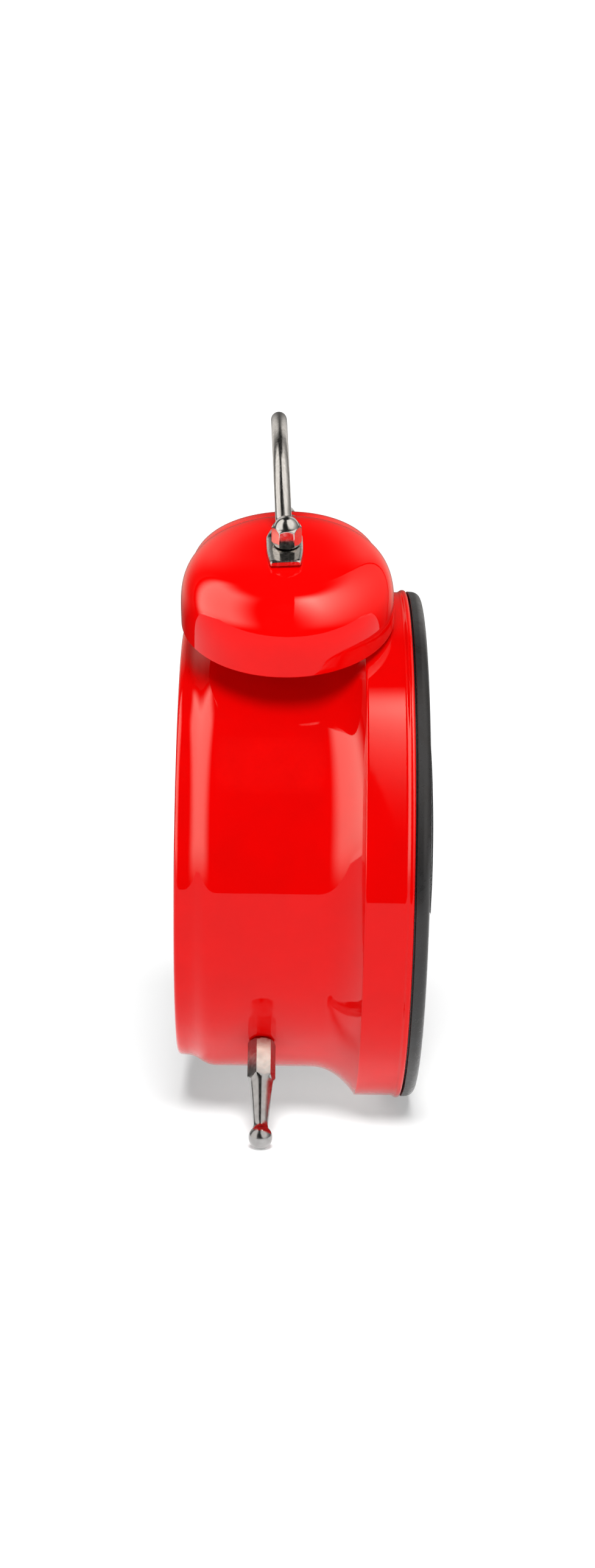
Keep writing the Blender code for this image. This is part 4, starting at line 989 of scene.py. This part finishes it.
def make_floor():
    look = new_look("floor", (0.93, 0.93, 0.93), 0.6, Specular_IOR_Level=0.1)
    mottled(look, 400.0, (0.92, 0.92, 0.92))
    shape = bmesh.new()
    bmesh.ops.create_grid(shape, x_segments=8, y_segments=8, size=FLOOR_HALF)
    half_depth = (FLOOR_NEAR_EDGE + FLOOR_FAR_EDGE) / 2
    bmesh.ops.scale(shape, vec=(half_depth / FLOOR_HALF, 1, 1), verts=shape.verts)
    place = Matrix.Translation(((FLOOR_FAR_EDGE - FLOOR_NEAR_EDGE) / 2, 0, 0))
    return staged("floor", to_mesh(shape, "floor"), "floor", place)


def glow_look(name, color):
    """A light wall's look: clear, with a glow whose strength is stored on the wall's points."""
    look = bpy.data.materials.new(name)
    look.use_nodes = True
    nodes, links = look.node_tree.nodes, look.node_tree.links
    nodes.remove(nodes["Principled BSDF"])
    stored = nodes.new("ShaderNodeAttribute")
    stored.attribute_name = "glow"
    glow = nodes.new("ShaderNodeEmission")
    links.new(stored.outputs["Fac"], glow.inputs["Strength"])
    glow.inputs["Color"].default_value = (*color, 1.0)
    clear = nodes.new("ShaderNodeBsdfTransparent")
    both = nodes.new("ShaderNodeAddShader")
    links.new(glow.outputs["Emission"], both.inputs[0])
    links.new(clear.outputs["BSDF"], both.inputs[1])
    links.new(both.outputs["Shader"], nodes["Material Output"].inputs["Surface"])
    LOOKS[name] = look


def ramp(value, start, end):
    return blend(0.0, 1.0, min(max((value - start) / (end - start), 0.0), 1.0))


def back_glow(turn, lift):
    """The wall on the back's side of the camera: even, with soft edges."""
    start = 24 + max(lift, 0) / 6
    level = 5.0 * ramp(turn, start, start + 34) * ramp(-turn, -111, -96)
    return level * ramp(lift, -16, 4) * ramp(-lift, -72, -56)


def front_glow(turn, lift):
    """The wall on the dial's side: brightest high up beside the camera, fading towards the front."""
    level = 3.7 + 10.0 * max(lift, 0) / 65
    fade = min(math.exp((turn + 28) / 36), 1.0)
    edge = ramp(-turn, 5 - 0.22 * max(lift, 0), 52 - 0.4 * max(lift, 0))
    return 0.8 * level * fade * edge * ramp(lift, -14, 4) * ramp(-lift, -80, -66)


def far_glow(turn, lift):
    """The weaker walls on the side that faces away from the camera, dark straight behind the clock."""
    return ramp(lift, -8, 4) * ramp(-lift, -70, -50) * (0.1 + 0.9 * math.sin(math.radians(3 * turn)) ** 2)


def wall(name, look, start, end, level, share, limit, radius):
    """A curved light wall round the clock, seen only in reflections.

    Turns run in degrees from -X, the side the camera looks from, towards the back. Share scales the
    glow that level gives, and limit cuts it off.
    """
    shape = bmesh.new()
    rows, glows = [], []
    across, up = 48, 40
    for i in range(across + 1):
        turn = start + (end - start) * i / across
        row = []
        for k in range(up + 1):
            lift = WALL_LOWEST + (WALL_HIGHEST - WALL_LOWEST) * k / up
            flat = radius * math.cos(math.radians(lift))
            row.append(shape.verts.new((-flat * math.cos(math.radians(turn)),
                                        flat * math.sin(math.radians(turn)),
                                        radius * math.sin(math.radians(lift)))))
            glows.append(min(share * level(turn, lift), limit))
        rows.append(row)
    for near, far in zip(rows, rows[1:]):
        for k in range(up):
            shape.faces.new((near[k], near[k + 1], far[k + 1], far[k]))
    mesh = bpy.data.meshes.new(name)
    shape.to_mesh(mesh)
    shape.free()
    stored = mesh.attributes.new("glow", "FLOAT", "POINT")
    stored.data.foreach_set("value", glows)
    made = staged(name, mesh, look, Matrix.Translation((0, 0, WALL_LEVEL)))
    made.visible_camera = False
    made.visible_shadow = False
    made.visible_diffuse = False
    return made


def fill(name, spot, power, size, receivers):
    """A wide soft lamp that lights colours but isn't mirrored: the walls are."""
    lamp = bpy.data.lights.new(name, "AREA")
    lamp.shape = "DISK"
    lamp.size = size
    lamp.energy = power
    made = bpy.data.objects.new(name, lamp)
    bpy.context.scene.collection.objects.link(made)
    made.location = spot
    made.rotation_euler = (FILL_AIM - Vector(spot)).to_track_quat("-Z", "Y").to_euler()
    made.visible_glossy = False
    made.light_linking.receiver_collection = receivers


def light_walls(enamel, bare):
    """One set of walls for the enamel and one for the rest, each mirrored only by its own pieces."""
    for group, look, levels in ((enamel, "warm_glow", ENAMEL_WALLS), (bare, "plain_glow", BARE_WALLS)):
        share, far_share, limit, radius = levels
        walls = [wall("wall_back_side_" + group.name, look, 18, 112, back_glow, share, limit, radius),
                 wall("wall_front_side_" + group.name, look, -134, -4, front_glow, share, limit, radius),
                 wall("wall_far_" + group.name, look, 114, 224, far_glow, far_share, limit, radius)]
        for made in walls:
            made.light_linking.receiver_collection = group


def light_floor(floor):
    """A sun with a soft shadow and one with none, both on the floor only."""
    receivers = bpy.data.collections.new("floor_only")
    receivers.objects.link(floor)
    for name, energy, turn, shadow in (("floor_light", FLOOR_SUN, FLOOR_SUN_TURN, True),
                                       ("floor_even", FLOOR_EVEN_SUN, 0.0, False)):
        sky = bpy.data.lights.new(name, "SUN")
        sky.energy = energy
        sky.angle = FLOOR_SUN_ANGLE
        sky.use_shadow = shadow
        above = bpy.data.objects.new(name, sky)
        bpy.context.scene.collection.objects.link(above)
        above.rotation_euler = (0, -turn, 0)
        above.light_linking.receiver_collection = receivers


def light_world():
    """White behind everything that is looked at directly, nearly dark for reflections."""
    world = bpy.data.worlds.new("studio")
    bpy.context.scene.world = world
    world.use_nodes = True
    nodes, links = world.node_tree.nodes, world.node_tree.links
    surround = nodes["Background"]
    surround.inputs["Color"].default_value = (SURROUND, SURROUND, SURROUND, 1)
    backdrop = nodes.new("ShaderNodeBackground")
    backdrop.inputs["Strength"].default_value = BACKDROP
    backdrop.inputs["Color"].default_value = (1.0, 1.0, 1.0, 1)
    seen = nodes.new("ShaderNodeLightPath")
    through = nodes.new("ShaderNodeMath")
    through.operation = "MAXIMUM"
    choose = nodes.new("ShaderNodeMixShader")
    links.new(seen.outputs["Is Camera Ray"], through.inputs[0])
    links.new(seen.outputs["Is Transmission Ray"], through.inputs[1])
    links.new(through.outputs["Value"], choose.inputs["Fac"])
    links.new(surround.outputs["Background"], choose.inputs[1])
    links.new(backdrop.outputs["Background"], choose.inputs[2])
    links.new(choose.outputs["Shader"], nodes["World Output"].inputs["Surface"])


def make_light(floor):
    glow_look("warm_glow", (1.0, 0.92, 0.78))
    glow_look("plain_glow", (1.0, 0.97, 0.94))
    enamel = bpy.data.collections.new("enamel")
    bare = bpy.data.collections.new("bare")
    clock = bpy.data.collections.new("clock")
    bells = bpy.data.collections.new("bells")
    for made in bpy.context.scene.objects:
        if made.type == "MESH" and made is not floor:
            red = made.data.materials[:] == [LOOKS["red_paint"]]
            (enamel if red else bare).objects.link(made)
            if red:
                made.visible_diffuse = False
            clock.objects.link(made)
            if made.name.startswith("bell_dome"):
                bells.objects.link(made)
    light_walls(enamel, bare)
    for lamp in FILLS:
        fill(*lamp, clock)
    fill(*BELL_FILL, bells)
    light_floor(floor)
    light_world()
    bpy.context.scene.view_settings.view_transform = "Standard"


def make_camera():
    """Beside the clock on its left, a little above it, looking slightly down."""
    spot = Vector((-0.5345, 0.0092, 0.1496))
    yaw, pitch, roll = -0.0132, 0.1466, 0.0159
    look = Vector((math.cos(yaw) * math.cos(pitch), math.sin(yaw) * math.cos(pitch), -math.sin(pitch)))
    level = look.cross(Vector((0, 0, 1))).normalized()
    up = level.cross(look)
    right = math.cos(roll) * level + math.sin(roll) * up
    top = -math.sin(roll) * level + math.cos(roll) * up
    data = bpy.data.cameras.new("camera")
    data.lens = 54.76
    data.sensor_width = 36.0
    data.clip_start = 0.01
    camera = bpy.data.objects.new("camera", data)
    bpy.context.scene.collection.objects.link(camera)
    camera.matrix_world = Matrix.Translation(spot) @ Matrix((right, top, -look)).transposed().to_4x4()
    bpy.context.scene.camera = camera


make_looks()
dress_inner_nodes()
make_case()
make_bezel_and_lens()
make_dial()
make_hands()
make_bells()
make_posts_and_nuts()
make_handle()
make_legs()
make_hammer()
make_rear_cover()
make_battery_door()
make_battery()
make_rear_screws()
make_controls()
make_light(make_floor())
make_camera()
